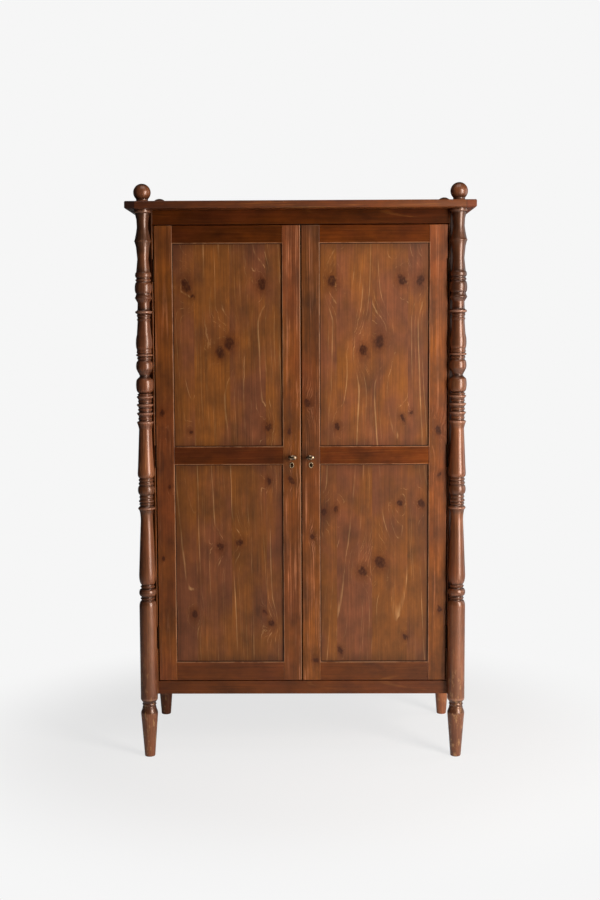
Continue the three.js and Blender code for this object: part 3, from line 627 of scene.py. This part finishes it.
# %% Ease the small parts
SMALL_PARTS = ("lock_case", "lock_bolt", "magnetic_catch", "left_catch_plate", "right_catch_plate")
SMALL_EASE = 0.3 * MM
SHORT_EDGE = 5 * MM
for node in SMALL_PARTS:
    eased_copy(node, SMALL_EASE, SHORT_EDGE)
print("small parts:", len(SMALL_PARTS))

# %% [markdown]
# # Finishes
#
# Colours are written as the hex values that a picture shows. Blender works in linear light, so one
# function turns them over. A second one adds a node with its settings and links, and everything below
# is made with it. A kind of node may have its operation after a dot. Values go to the inputs in their
# order, counting only those that the settings leave on.

# %% Colour and nodes
SMOOTH = {"interpolation_type": "SMOOTHSTEP"}
NOISE_RANGE = (0.3, 0.7)
# How uneven wood is: spots per metre across the fibres and along them, their detail and roughness.
# Each pine says how wide its blotches are.
UNEVEN = {"drift": (7, 1.3, 2, 0.55), "rag": (45, 30, 3, 0.55), "patches": (60, 5, 3, 0.6),
          "blotches": (1, 0.5, 3, 0.6), "clouds": (15, 9, 4, 0.62), "streaks": (150, 3, 4, 0.68),
          "fibres": (620, 9, 2, 0.65), "mottle": (170, 110, 3, 0.65), "rub_and_highlight": (20, 20, 3, 0.65),
          "scuffs": (75, 32, 4, 0.7)}


def linear(hex_colour):
    """An sRGB hex colour as linear red, green, blue and a full alpha."""
    channels = [int(hex_colour[place:place + 2], 16) / 255 for place in (1, 3, 5)]
    return [value / 12.92 if value <= 0.04045 else ((value + 0.055) / 1.055) ** 2.4
            for value in channels] + [1]


def add_node(tree, kind, *values, inputs=None, out=None, **settings):
    """Adds a node with its settings and links, and gives its first output, or the one named by out. Each
    of the values, and of the inputs by name, is a plain value or the socket that feeds it."""
    kind, _, operation = kind.partition(".")
    node = tree.nodes.new(f"ShaderNode{kind}")
    if operation:
        node.operation = operation
    for name, value in settings.items():
        setattr(node, name, value)
    sockets = [socket for socket in node.inputs if socket.enabled]
    named = [(node.inputs[name], value) for name, value in (inputs or {}).items()]
    for socket, value in [*zip(sockets, values), *named]:
        if isinstance(value, bpy.types.NodeSocket):
            tree.links.new(value, socket)
        else:
            socket.default_value = value
    return node.outputs[out] if out else next((socket for socket in node.outputs if socket.enabled), None)


def new_material(name):
    """An empty material, and the function above made ready to add nodes to it."""
    material = bpy.data.materials.new(name)
    material.use_nodes = True
    material.node_tree.nodes.clear()
    return material, partial(add_node, material.node_tree)


def unevenness(add, place, kind, width=1.0):
    """Noise of one of the kinds in UNEVEN, drawn so many times as wide."""
    across, along, detail, roughness = UNEVEN[kind]
    stretched = add("VectorMath.MULTIPLY", place, (across / width, across / width, along / width))
    return add("TexNoise", stretched, 1.0, detail, roughness)


# %% [markdown]
# ## A knot, as a group of nodes
#
# A knot is the root of a branch. The annual rings part round it like a stream round a stone, close
# again above and below, and the knot itself is dark and full of resin. One group of nodes makes a knot
# at a given place and size. It gives three things: how far the rings are pushed, the dark heart,
# and the stained halo round it.

# %% The knot group
KNOT_STRETCH = (1, 0.72, 1)
PUSH_STRETCH = (0.42, 0.2, 1)
# In half widths: where the heart and the halo begin and are full, and how far the rings are pushed
HEART_FADE = (1.12, 0.6)
HALO_FADE = (2.9, 0.6)
PUSH = 1.7


def knot_group():
    tree = bpy.data.node_groups.new("Pine knot", "ShaderNodeTree")
    add = partial(add_node, tree)
    for name in ("Across", "Along", "Place Across", "Place Along", "Half Width"):
        tree.interface.new_socket(name, in_out="INPUT", socket_type="NodeSocketFloat")
    for name in ("Push", "Heart", "Halo"):
        tree.interface.new_socket(name, in_out="OUTPUT", socket_type="NodeSocketFloat")
    inside = tree.nodes.new("NodeGroupInput").outputs
    half_width = inside["Half Width"]
    shares = []
    for way in ("Across", "Along"):
        offset = add("Math.SUBTRACT", inside[way], inside[f"Place {way}"])
        shares.append(add("Math.DIVIDE", offset, half_width))
    oval = add("CombineXYZ", *shares)
    reach, push_reach = (add("VectorMath.LENGTH", add("VectorMath.MULTIPLY", oval, stretch))
                         for stretch in (KNOT_STRETCH, PUSH_STRETCH))
    heart = add("MapRange", reach, *HEART_FADE, **SMOOTH)
    halo = add("MapRange", reach, *HALO_FADE, **SMOOTH)
    bell = add("Math.EXPONENT", add("Math.MULTIPLY", add("Math.MULTIPLY", push_reach, push_reach), -1.0))
    push = add("Math.MULTIPLY", bell, add("Math.MULTIPLY", half_width, PUSH))
    for socket, value in zip(tree.nodes.new("NodeGroupOutput").inputs, (push, heart, halo)):
        tree.links.new(value, socket)
    return tree


KNOT = knot_group()
print("knot group:", len(KNOT.nodes), "nodes")

# %% [markdown]
# ## Painted shade and highlights, and where the stain is worn or heavy
#
# Where a door's panel goes into its frame, a dark line is painted in the corner, partly stain in the
# joint and partly painted shade, with a soft painted shade beside it. The frame's own arris beside it
# is painted pale, partly rubbed wear and partly a painted highlight. The four panels are the same size
# and lie evenly about the door's middle rail, so one measure of the distance to the frame serves them
# all. Each of the functions below gives layers of colour for one kind of part: how much of it shows,
# and its hex value.

# %% Distance to the nearest edge of a door panel
mid_low, mid_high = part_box("right_door_mid_rail")
MID_Z = (mid_low.z + mid_high.z) / 2
PANEL_X = (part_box("right_door_lock_stile")[1].x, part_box("right_door_hinge_stile")[0].x)
PANEL_Z = (mid_high.z - MID_Z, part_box("right_door_top_rail")[0].z - MID_Z)


def into_panel(add, axes):
    """Metres from the edge of the nearest visible door panel, positive inside it."""
    x = add("Math.ABSOLUTE", axes["X"])
    z = add("Math.ABSOLUTE", add("Math.SUBTRACT", axes["Z"], MID_Z))
    nearest = [add("Math.MINIMUM", add("Math.SUBTRACT", offset, low), add("Math.SUBTRACT", high, offset))
               for offset, (low, high) in ((x, PANEL_X), (z, PANEL_Z))]
    return add("Math.MINIMUM", *nearest)


# %% Layers for panels, frames, turnings and the top
# Pale of the arrises: partly rubbed wear, partly a painted highlight
RUBBED_PALE_AND_HIGHLIGHT = "#c08a63"
CLEAT_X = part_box("top_board")[1].x - 33 * MM
SCUFFS_TO = 0.5


def panel_rim_joint_and_shade(add, place, axes):
    """A dark line in the corner, partly stain in the joint and partly painted shade, and a soft painted
    shade beside it.
    """
    inside = into_panel(add, axes)
    line = add("MapRange", inside, 3.6 * MM, 2.0 * MM, 0.0, 0.92, **SMOOTH)
    soft = add("MapRange", inside, 40 * MM, 0.0, 0.0, 0.3, **SMOOTH)
    return [(add("Math.MAXIMUM", line, soft), "#220d05")]


def arris_highlight_and_rub(add, place, axes):
    # A pale line on the arris beside a panel: partly rubbed wear, partly a painted highlight
    beside = add("MapRange", into_panel(add, axes), -3.4 * MM, -2.0 * MM, **SMOOTH)
    pale_dashes = add("MapRange", unevenness(add, place, "rub_and_highlight"), 0.3, 0.56, 0.08, 0.52, **SMOOTH)
    return [(add("Math.MULTIPLY", beside, pale_dashes), RUBBED_PALE_AND_HIGHLIGHT)]


def stile_arris_highlight_and_rub(add, place, axes):
    """Pale lines, partly rubbed wear and partly a painted highlight, on the arris at the panels and on the
    one where the two doors meet.
    """
    [(at_panel, colour)] = arris_highlight_and_rub(add, place, axes)
    off_meeting = add("Math.ABSOLUTE", add("Math.ADD", axes["X"], 3.4 * MM))
    meeting = add("MapRange", off_meeting, 2.4 * MM, 1.2 * MM, 0.0, 0.5, **SMOOTH)
    return [(add("Math.MAXIMUM", at_panel, meeting), colour)]


def painted_light_and_scuffs_on_turning(add, place, axes):
    """Pale crowns as a painted highlight, dark coves as painted shade, and scuffs on the legs low down."""
    # Crowns paled as a painted highlight and coves darkened as painted shade; the scuffs are wear
    depths = add("Attribute", attribute_name="cove", out="Fac")
    low_down = add("MapRange", axes["Z"], SCUFFS_TO, 0.1, **SMOOTH)
    scuffs = add("MapRange", unevenness(add, place, "scuffs"), 0.54, 0.63, 0.0, 0.66, **SMOOTH)
    return [(add("MapRange", depths, -0.12, -0.32, 0.0, 0.4, **SMOOTH), "#c09078"),
            (add("Math.MULTIPLY", depths, 0.9, use_clamp=True), "#1d0c07"),
            (add("Math.MULTIPLY", low_down, scuffs), "#b98a58")]


def top_painted_light_and_cleats(add, place, axes):
    """Painted shade darkening it to the left and painted light to the right, two cleats of their own
    colour, and their joint lines.
    """
    x = axes["X"]
    # The first two layers are painted shade and painted light; the cleats and joints are the wood's own
    layers = [(add("MapRange", x, start_x, end_x, 0.0, most, **SMOOTH), colour)
              for start_x, end_x, most, colour in (
                  (0.05, -CLEAT_X, 0.58, "#3a1a0a"), (-0.1, CLEAT_X, 0.35, "#925224"),
                  (-CLEAT_X, -CLEAT_X - MM, 0.85, "#230e07"), (CLEAT_X, CLEAT_X + MM, 0.5, "#7a3216"))]
    off_joint = add("Math.ABSOLUTE", add("Math.SUBTRACT", CLEAT_X, add("Math.ABSOLUTE", x)))
    joint = add("MapRange", off_joint, 1.4 * MM, 0.5 * MM, 0.0, 0.8, **SMOOTH)
    return [*layers, (joint, "#1d0c07")]


# %% [markdown]
# ## Stained pine
#
# Pine has strong annual rings. When it is stained, the soft pale part of each ring drinks the colour
# and goes dark, and the hard narrow part stays light, so the figure turns over: fine golden lines on
# brown. The rings are drawn as they grow. A distance is measured from the tree's heart, which lies
# behind the board and leans a little, so the lines run parallel at the board's edges and close into
# long flames at its middle. That distance is pushed round each knot. A one-dimensional noise makes
# the rings' widths uneven, and where the board cuts a ring nearly flat, its line is kept thin. Over
# the rings lie blotches of stain, streaks, fine fibres and the knots. All of it reads Object
# coordinates, in metres, so a ring of 6 mm is 6 mm. Fibres finer than a picture shows are drawn 1.6 mm
# wide.

# %% The pine material
# The axes across, through and along the fibres, for each way that a board can lie
GRAIN_AXES = {"X": ("Z", "Y", "X"), "Y": ("Z", "X", "Y"), "Z": ("X", "Y", "Z"),
              "Z on a side": ("Y", "X", "Z")}
HEART_DRIFT = 7 * MM
KNOT_RAG = 6 * MM
SEASON_SCALE = 0.45
SEASON_SHARE = 2.6
FLATTEST = 0.25
FIBRE_SPREAD = 0.16
STAVE_SPREAD = 0.08
GLOSS_SPREAD = 0.05
COAT_ROUGHNESS = 0.27


def pine(name, grain, ground, blush, latewood, knots=(), stave=0.12, off_heart=0.35, depth=0.035,
         lean=0.03, ring=0.009, line_width=0.2, line_strength=0.5, blotch=0.16, tone_spread=0.22,
         gloss=0.4, coat=0.0, seed=0.0, flames=False, layers=None, sheen=(0.5, 0.5, "#ffffff")):
    """Stained pine. grain is the axis that the fibres follow, and knots are (across, along, half width).
    stave, ring and blotch are widths, depth is how far behind the board the tree's heart lies, and lean
    how much that changes in a metre, all in metres. line_width is a share of a ring. With flames, the
    lines are strongest near the doors' meeting. gloss is the lacquer's roughness, coat how much of a
    second coat lies on it, and sheen its reflection high up, the one low down, and its tint."""
    material, add = new_material(name)
    place = add("TexCoord", out="Object")
    axes = add("SeparateXYZ", place).node.outputs
    across, through, along = (axes[axis] for axis in GRAIN_AXES[grain])
    if grain == "Z on a side":
        through = add("Math.ABSOLUTE", through)

    # Staves: wide panels are glued up from boards, each from another part of the tree
    stave_number = add("Math.FLOOR", add("Math.DIVIDE", across, stave))
    chance = add("TexWhiteNoise", add("Math.ADD", stave_number, seed + 0.37), out="Color",
                 noise_dimensions="1D")
    off_middle, _, stave_tone = add("SeparateColor", chance).node.outputs
    apart = add("VectorMath.SCALE", chance, 3.0)
    own_place = add("VectorMath.ADD", add("CombineXYZ", across, through, along), apart)

    # How far the point is from the tree's heart, which wanders behind the board
    drift = add("MapRange", unevenness(add, own_place, "drift"), *NOISE_RANGE, -HEART_DRIFT, HEART_DRIFT,
                clamp=False)
    jitter = add("MapRange", off_middle, 0.0, 1.0, -off_heart, off_heart)
    middle = add("Math.ADD", add("Math.ADD", stave_number, 0.5), jitter)
    pith = add("Math.MULTIPLY", middle, stave)
    sideways = add("Math.ADD", add("Math.SUBTRACT", across, pith), drift)
    behind = add("Math.ADD", add("Math.MULTIPLY_ADD", along, lean, depth), through)
    ring_place = add("VectorMath.LENGTH", add("CombineXYZ", sideways, behind))
    steepness = add("Math.DIVIDE", add("Math.ABSOLUTE", sideways), ring_place)

    # Knots push the rings aside, and their own outlines are ragged
    hearts = halos = 0.0
    if knots:
        rag = add("MapRange", unevenness(add, own_place, "rag"), *NOISE_RANGE, -KNOT_RAG, KNOT_RAG,
                  clamp=False)
        ragged = (add("Math.ADD", across, rag), add("Math.SUBTRACT", along, rag))
    for knot in knots:
        push, heart, halo = add("Group", *ragged, *knot, node_tree=KNOT).node.outputs
        ring_place = add("Math.ADD", ring_place, push)
        hearts = add("Math.MAXIMUM", hearts, heart)
        halos = add("Math.MAXIMUM", halos, halo)

    # Light latewood lines of uneven spacing, strong in one place and faint in the next
    ring_count = add("Math.MULTIPLY_ADD", ring_place, 1 / ring, seed * 7.3)
    seasons = add("TexNoise", ring_count, SEASON_SCALE, 2.0, 0.6, noise_dimensions="1D")
    uneven_count = add("Math.MULTIPLY_ADD", seasons, SEASON_SHARE, ring_count)
    off_line = add("Math.ABSOLUTE", add("Math.SUBTRACT", add("Math.FRACT", uneven_count), 0.5))
    off_line = add("Math.DIVIDE", off_line, add("Math.MAXIMUM", steepness, FLATTEST))
    lines = add("MapRange", off_line, line_width, line_width * 0.3, **SMOOTH)
    patches = add("MapRange", unevenness(add, own_place, "patches"), 0.44, 0.66, 0.06, 1.0, **SMOOTH)
    light_share = add("Math.MULTIPLY", add("Math.MULTIPLY", lines, patches), line_strength)
    if flames:
        near_meeting = add("MapRange", add("Math.ABSOLUTE", axes["X"]), 0.3, 0.15, 0.4, 1.0, **SMOOTH)
        light_share = add("Math.MULTIPLY", light_share, near_meeting)

    # Blotches of stain, warm brown against a rosier brown, over soft dark and light bands
    tint = add("MapRange", unevenness(add, own_place, "blotches", blotch), 0.36, 0.64, **SMOOTH)
    stain = add("Mix", tint, linear(ground), linear(blush), data_type="RGBA")
    colour = add("Mix", light_share, stain, linear(latewood), data_type="RGBA")
    fibres, streaks, clouds = (unevenness(add, own_place, kind) for kind in ("fibres", "streaks", "clouds"))
    tone = add("MapRange", stave_tone, 0.0, 1.0, 1 - STAVE_SPREAD, 1 + STAVE_SPREAD)
    tone = add("Math.MULTIPLY", tone, add("Attribute", attribute_name="tone", out="Fac"))
    for band, spread in ((fibres, FIBRE_SPREAD), (streaks, tone_spread), (clouds, 1.5 * tone_spread)):
        lightness = add("MapRange", band, *NOISE_RANGE, 1 - spread, 1 + spread, clamp=False)
        tone = add("Math.MULTIPLY", tone, lightness)
    colour = add("VectorMath.SCALE", colour, tone)

    # The knots themselves, and the layers of each kind of part: wear, stain, painted shade and painted
    # highlights
    on_top = []
    if knots:
        mottle = unevenness(add, own_place, "mottle")
        for part, shares, brown in ((halos, (0.25, 0.7, 0.3, 0.8), "#5a2808"),
                                    (hearts, (0.25, 0.65, 0.5, 1.0), "#3a1502")):
            dark = add("MapRange", mottle, *shares, **SMOOTH)
            on_top.append((add("Math.MULTIPLY", part, dark), brown))
    if layers:
        on_top += layers(add, place, axes)
    for share, brown in on_top:
        colour = add("Mix", share, colour, linear(brown), data_type="RGBA")

    # Satin lacquer, a touch duller where the stain is heavy, over fibres that still stand up
    high_sheen, low_sheen, sheen_tint = sheen
    relief = add("Math.MULTIPLY_ADD", lines, 0.5, fibres)
    add("OutputMaterial", add("BsdfPrincipled", inputs={
        "Base Color": colour,
        "Roughness": add("MapRange", clouds, *NOISE_RANGE, gloss + GLOSS_SPREAD, gloss - GLOSS_SPREAD,
                         clamp=False),
        "Specular IOR Level": add("MapRange", axes["Z"], 1.3, 0.5, high_sheen, low_sheen, **SMOOTH),
        "Specular Tint": linear(sheen_tint),
        "Coat Weight": coat,
        "Coat Roughness": COAT_ROUGHNESS,
        "Normal": add("Bump", inputs={"Height": relief, "Strength": 0.35, "Distance": 0.25 * MM})}))
    return material


# %% [markdown]
# ## The finishes of this cabinet
#
# The photograph shows the knots' places, so they are listed for each door as (across, up, half width),
# in millimetres from the cabinet's middle and the floor. The panels are a lighter, yellower brown than
# the frames round them, whose grain runs straight with few lines.

# %% Knots
PANEL_KNOTS = {
    "left": ((-240, 1417, 17), (-274, 1390, 15), (-130, 1617, 16), (-113, 1136, 12), (-363, 1575, 6),
             (-386, 1612, 15), (-375, 1120, 6), (-211, 739, 12), (-277, 725, 11), (-111, 951, 9),
             (-368, 492, 11), (-104, 457, 10), (-128, 499, 5)),
    "right": ((263, 1425, 18), (209, 1395, 14), (339, 1628, 13), (400, 1628, 15), (105, 1626, 16),
              (344, 1165, 7), (375, 1182, 6), (124, 1135, 9), (267, 672, 16), (205, 641, 13),
              (113, 858, 9), (76, 845, 10), (335, 875, 9), (406, 875, 10), (353, 411, 8), (130, 365, 7)),
}
SIDE_KNOTS = ((-120, 1560, 14), (95, 1210, 13), (150, 1185, 8), (-60, 790, 15), (130, 520, 11))
FRAME_KNOTS = ((-472, 1185, 10), (-475, 688, 6), (-449, 933, 6), (-42, 1122, 9), (-36, 955, 9),
               (19, 1217, 11), (35, 760, 7), (47, 332, 8), (462, 1124, 11), (470, 971, 8), (472, 506, 8))


def in_metres(knots):
    return [tuple(value * MM for value in knot) for knot in knots]


# %% Make the pines
PANEL = {"ground": "#7e491c", "blush": "#744228", "latewood": "#c0905e", "off_heart": 1.1, "ring": 0.0068,
         "line_width": 0.16, "line_strength": 0.62, "tone_spread": 0.23, "lean": 0.022,
         "sheen": (0.47, 0.47, "#fff7ee")}
RAIL = {"ground": "#66310d", "blush": "#5f2c12", "latewood": "#965c2c", "stave": 0.4, "depth": 0.08,
        "line_strength": 0.35, "tone_spread": 0.27, "sheen": (0.15, 0.66, "#ffe0c8")}
panel_pines = {side: pine(f"Stained knotty pine panel {side}", "Z", **PANEL, layers=panel_rim_joint_and_shade, seed=seed,
                          knots=in_metres(PANEL_KNOTS[side]))
               for side, seed in (("left", 1.0), ("right", 5.0))}
side_pine = pine("Stained knotty pine side", "Z on a side", **PANEL, depth=-0.31, seed=9.0,
                 knots=in_metres(SIDE_KNOTS))
stile_pine = pine("Stained pine stile", "Z", "#784216", "#743b1b", "#b87650", stave=0.062, off_heart=0.9,
                  depth=0.25, lean=0.012, ring=0.007, line_strength=0.9, tone_spread=0.3, blotch=0.3,
                  knots=in_metres(FRAME_KNOTS), seed=3.0, flames=True, layers=stile_arris_highlight_and_rub,
                  sheen=(0.48, 0.48, "#fff2e6"))
rail_pine = pine("Stained pine rail", "X", **RAIL, lean=0.02, seed=4.0, layers=arris_highlight_and_rub)
side_rail_pine = pine("Stained pine side rail", "Y", **RAIL, seed=6.0)
top_pine = pine("Stained pine top", "X", "#703914", "#653117", "#a06834", stave=2.0, depth=0.1, lean=0.02,
                line_strength=0.6, tone_spread=0.34, seed=7.0, layers=top_painted_light_and_cleats)
turned_pine = pine("Lacquered turned pine", "Z", "#774528", "#6c3b23", "#a8744a", stave=4.0, depth=0.02,
                   lean=0.0, line_strength=0.35, gloss=0.45, coat=1.0, seed=8.0, layers=painted_light_and_scuffs_on_turning,
                   sheen=(1.0, 1.0, "#ffb890"))
inside_pine = pine("Thinly stained pine inside", "X", "#8a5b39", "#80502f", "#b5875a", stave=2.0,
                   depth=0.09, gloss=0.62, seed=2.0)
print("pines:", sorted(material.name for material in bpy.data.materials if "pine" in material.name))

# %% [markdown]
# ## Brass, steel and plastic
#
# The knobs are lacquered brass that handling has dulled in patches. The key plates are pressed brass,
# pale on the rim and brown where they are pressed back. The hinges are bronzed, so they are nearly the
# colour of the wood. Metals keep the default IOR and are coloured by their base colour.

# %% Metals and plastic
def metal(name, bright, dull, roughness, patina, size, hollows=False, lacquer=0.0):
    """patina is the share that has gone dull, and size the width of its patches in metres. With hollows,
    what the mesh marks as pressed back is dull all over."""
    material, add = new_material(name)
    place = add("TexCoord", out="Object")
    cloud = add("TexNoise", place, 1 / size, 4.0, 0.65)
    dull_share = add("MapRange", cloud, 0.72 - patina / 2, 0.4 - patina / 2, 1.0, 0.0, **SMOOTH)
    if hollows:
        hollow = add("Attribute", attribute_name="hollow", out="Fac")
        dull_share = add("Math.MAXIMUM", dull_share, hollow)
    scratches = add("TexNoise", place, 1400.0, 2.0)
    add("OutputMaterial", add("BsdfPrincipled", inputs={
        "Base Color": add("Mix", dull_share, linear(bright), linear(dull), data_type="RGBA"),
        "Roughness": add("MapRange", dull_share, 0.0, 1.0, roughness, min(1, roughness + 0.22)),
        "Metallic": 1,
        "Coat Weight": lacquer,
        "Coat Roughness": 0.12,
        "Normal": add("Bump", inputs={"Height": scratches, "Strength": 0.12, "Distance": 0.05 * MM})}))
    return material


knob_brass = metal("Antiqued brass", "#dcb68c", "#3c2614", 0.18, 0.2, 6 * MM, lacquer=1.0)
plate_brass = metal("Pressed brass", "#f6dcb4", "#2e1c0e", 0.55, 0.1, 4 * MM, hollows=True)
hinge_brass = metal("Bronzed brass", "#5c4028", "#2c1c12", 0.38, 0.5, 5 * MM)
lock_steel = metal("Zinc plated steel", "#a9abae", "#75777a", 0.35, 0.4, 9 * MM)

# %% Moulded plastic of the catch
catch_plastic, add = new_material("Moulded ABS")
place = add("TexCoord", out="Object")
mottle = add("TexNoise", place, 60.0, 2.0)
moulding = add("Bump", inputs={"Height": add("TexNoise", place, 900.0, 2.0), "Strength": 0.3,
                               "Distance": 0.1 * MM})
add("OutputMaterial", add("BsdfPrincipled", inputs={
    "Base Color": add("Mix", mottle, linear("#33241a"), linear("#422f23"), data_type="RGBA"),
    "Roughness": 0.5, "IOR": 1.53, "Normal": moulding}))

# %% [markdown]
# ## Put each finish on its pieces
#
# A board's fibres run along its length, so the choice between the pines follows from what the board
# is: stiles and panels stand, rails lie, and the side rails run from front to back. The hidden CAD
# nodes get the same finish as the piece that stands for them.

# %% Assign the finishes
BY_SLOT = {"turned_pine": turned_pine, "top_pine": top_pine, "inside_pine": inside_pine,
           "knob_brass": knob_brass, "hinge_brass": hinge_brass, "lock_steel": lock_steel,
           "catch_plastic": catch_plastic}


def finish_of(node):
    if "key_plate" in node:
        return plate_brass
    if slot_of(node) in BY_SLOT:
        return BY_SLOT[slot_of(node)]
    if "_door_" in node and "panel" in node:
        return panel_pines["left" if node.startswith("left") else "right"]
    if node.startswith("side_panel"):
        return side_pine
    if node.startswith("side_"):
        return side_rail_pine
    return stile_pine if "stile" in node else rail_pine


for piece in bpy.data.objects:
    if piece.type == "MESH" and piece.get("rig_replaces"):
        piece.data.materials.clear()
        piece.data.materials.append(finish_of(piece["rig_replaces"][0]))
for node, cad_node in nodes.items():
    for slot in cad_node.material_slots:
        slot.material = finish_of(node)
print("finishes:", len(bpy.data.materials))

# %% [markdown]
# # Studio
#
# The cabinet stands on a wide roll of white paper that runs back and curves up into a backdrop. The
# room round it is dark, as the deep shadow on the left of each post shows. The paper starts as a
# plane, and its back edge is extruded step by step along a quarter circle and then straight up.

# %% Paper sweep
PAPER_WIDTH = 5.8
PAPER_FRONT = -2.9
PAPER_BACK = 4.5
PAPER_BEND = 1.6
PAPER_HEIGHT = 5
BEND_STEPS = 16

paper = start(bpy.ops.mesh.primitive_plane_add, "paper_sweep", (PAPER_WIDTH, PAPER_BACK - PAPER_FRONT, 1),
              size=1, location=(0, (PAPER_BACK + PAPER_FRONT) / 2, 0))
bpy.ops.object.mode_set(mode="EDIT")
pick(paper, edges=lambda edge: min(vertex.co.y for vertex in edge.verts) > PAPER_BACK - MM)
stride = 2 * PAPER_BEND * math.sin(math.pi / 4 / BEND_STEPS)
for step in range(BEND_STEPS):
    turn = math.pi / 2 * (step + 0.5) / BEND_STEPS
    bpy.ops.mesh.extrude_region_move(TRANSFORM_OT_translate={
        "value": (0, stride * math.cos(turn), stride * math.sin(turn))})
bpy.ops.mesh.extrude_region_move(TRANSFORM_OT_translate={"value": (0, 0, PAPER_HEIGHT)})
bpy.ops.mesh.select_all(action="SELECT")
bpy.ops.mesh.normals_make_consistent(inside=False)
bpy.ops.object.mode_set(mode="OBJECT")
shade(paper, 40)

# %% [markdown]
# The paper is matt. To the camera it is mixed with a plain white of its own, wholly so far from the
# cabinet, so that the page round it is an even near-white. Near the cabinet some of the lit paper
# still shows, and with it the shadow.

# %% White paper
PAGE = "#f6f6f6"
SHADOW_REACH = (0.75, 1.5)
SHADOW_SHARE = 0.27
SHOWN_WHITE = "#ffffff"

paper_white, add = new_material("Matt white background paper")
lit = add("BsdfPrincipled", inputs={"Base Color": linear("#eeeded"), "Roughness": 0.9})
away = add("VectorMath.LENGTH", add("TexCoord", out="Object"))
far = add("MapRange", away, *SHADOW_REACH, **SMOOTH)
seen = add("LightPath", out="Is Camera Ray")
page_share = add("Math.MULTIPLY", seen, add("MapRange", far, 0.0, 1.0, 1 - SHADOW_SHARE, 1.0))
page = add("Emission", add("Mix", far, linear(SHOWN_WHITE), linear(PAGE), data_type="RGBA"), 1.0)
add("OutputMaterial", add("MixShader", page_share, lit, page))
paper.data.materials.clear()
paper.data.materials.append(paper_white)

# %% [markdown]
# ## Light
#
# The photograph's highlights say where its lamps stood. The long streak down each post lies right of
# its middle, so a tall soft box stands to the right of the camera. A weak one hangs overhead, whose
# light the top board keeps off the rail below it, and another stands beside the right end. The left
# side is only filled by the room.

# %% Soft boxes
def soft_box(name, place, aim, size, power, colour):
    lamp = bpy.data.lights.new(name, "AREA")
    lamp.shape = "RECTANGLE"
    lamp.size, lamp.size_y = size
    lamp.energy = power
    lamp.color = linear(colour)[:3]
    box = bpy.data.objects.new(name, lamp)
    bpy.context.collection.objects.link(box)
    box.location = place
    box.rotation_euler = (Vector(aim) - Vector(place)).to_track_quat("-Z", "Y").to_euler()


soft_box("key_soft_box", (2.2, -2.4, 1.5), (0, 0, 1.0), (1.1, 2.4), 106, "#fffaf4")
soft_box("overhead_soft_box", (0.2, -1.3, 4.4), (0, -0.2, 0.8), (2.4, 1.8), 20, "#ffffff")
soft_box("side_soft_box", (2.5, 0.3, 1.4), (0.5, 0, 1.0), (1.4, 2.2), 12, "#ffffff")

# %% The room
world = bpy.data.worlds.new("studio room")
world.use_nodes = True
world.node_tree.nodes.clear()
add = partial(add_node, world.node_tree)
dim = add("Background", linear("#f0f0f4"), 0.035)
page = add("Background", linear(PAGE), 1.0)
add("OutputWorld", add("MixShader", add("LightPath", out="Is Camera Ray"), dim, page))
bpy.context.scene.world = world
bpy.context.scene.view_settings.view_transform = "Standard"

# %% [markdown]
# ## Camera
#
# The camera's place and lens were worked out from the cabinet's feet, finials and door corners in the
# photograph: 4.7 m away, at the height of a standing person's chin, and tipped down by 5 degrees.

# %% Camera
LENS = 52.64
CAMERA_PLACE = Vector((0.0403, -4.6833, 1.4602))
YAW, PITCH, ROLL = 0.583, 5.177, -0.24

camera = bpy.data.objects.new("camera", bpy.data.cameras.new("camera"))
camera.data.lens = LENS
camera.data.sensor_width = 36
camera.location = CAMERA_PLACE
camera.rotation_mode = "XYZ"
aim = Euler((math.radians(90 - PITCH), 0, math.radians(YAW)), "XYZ").to_matrix()
camera.rotation_euler = (aim @ Matrix.Rotation(math.radians(ROLL), 3, "Z")).to_euler()
bpy.context.collection.objects.link(camera)
bpy.context.scene.camera = camera
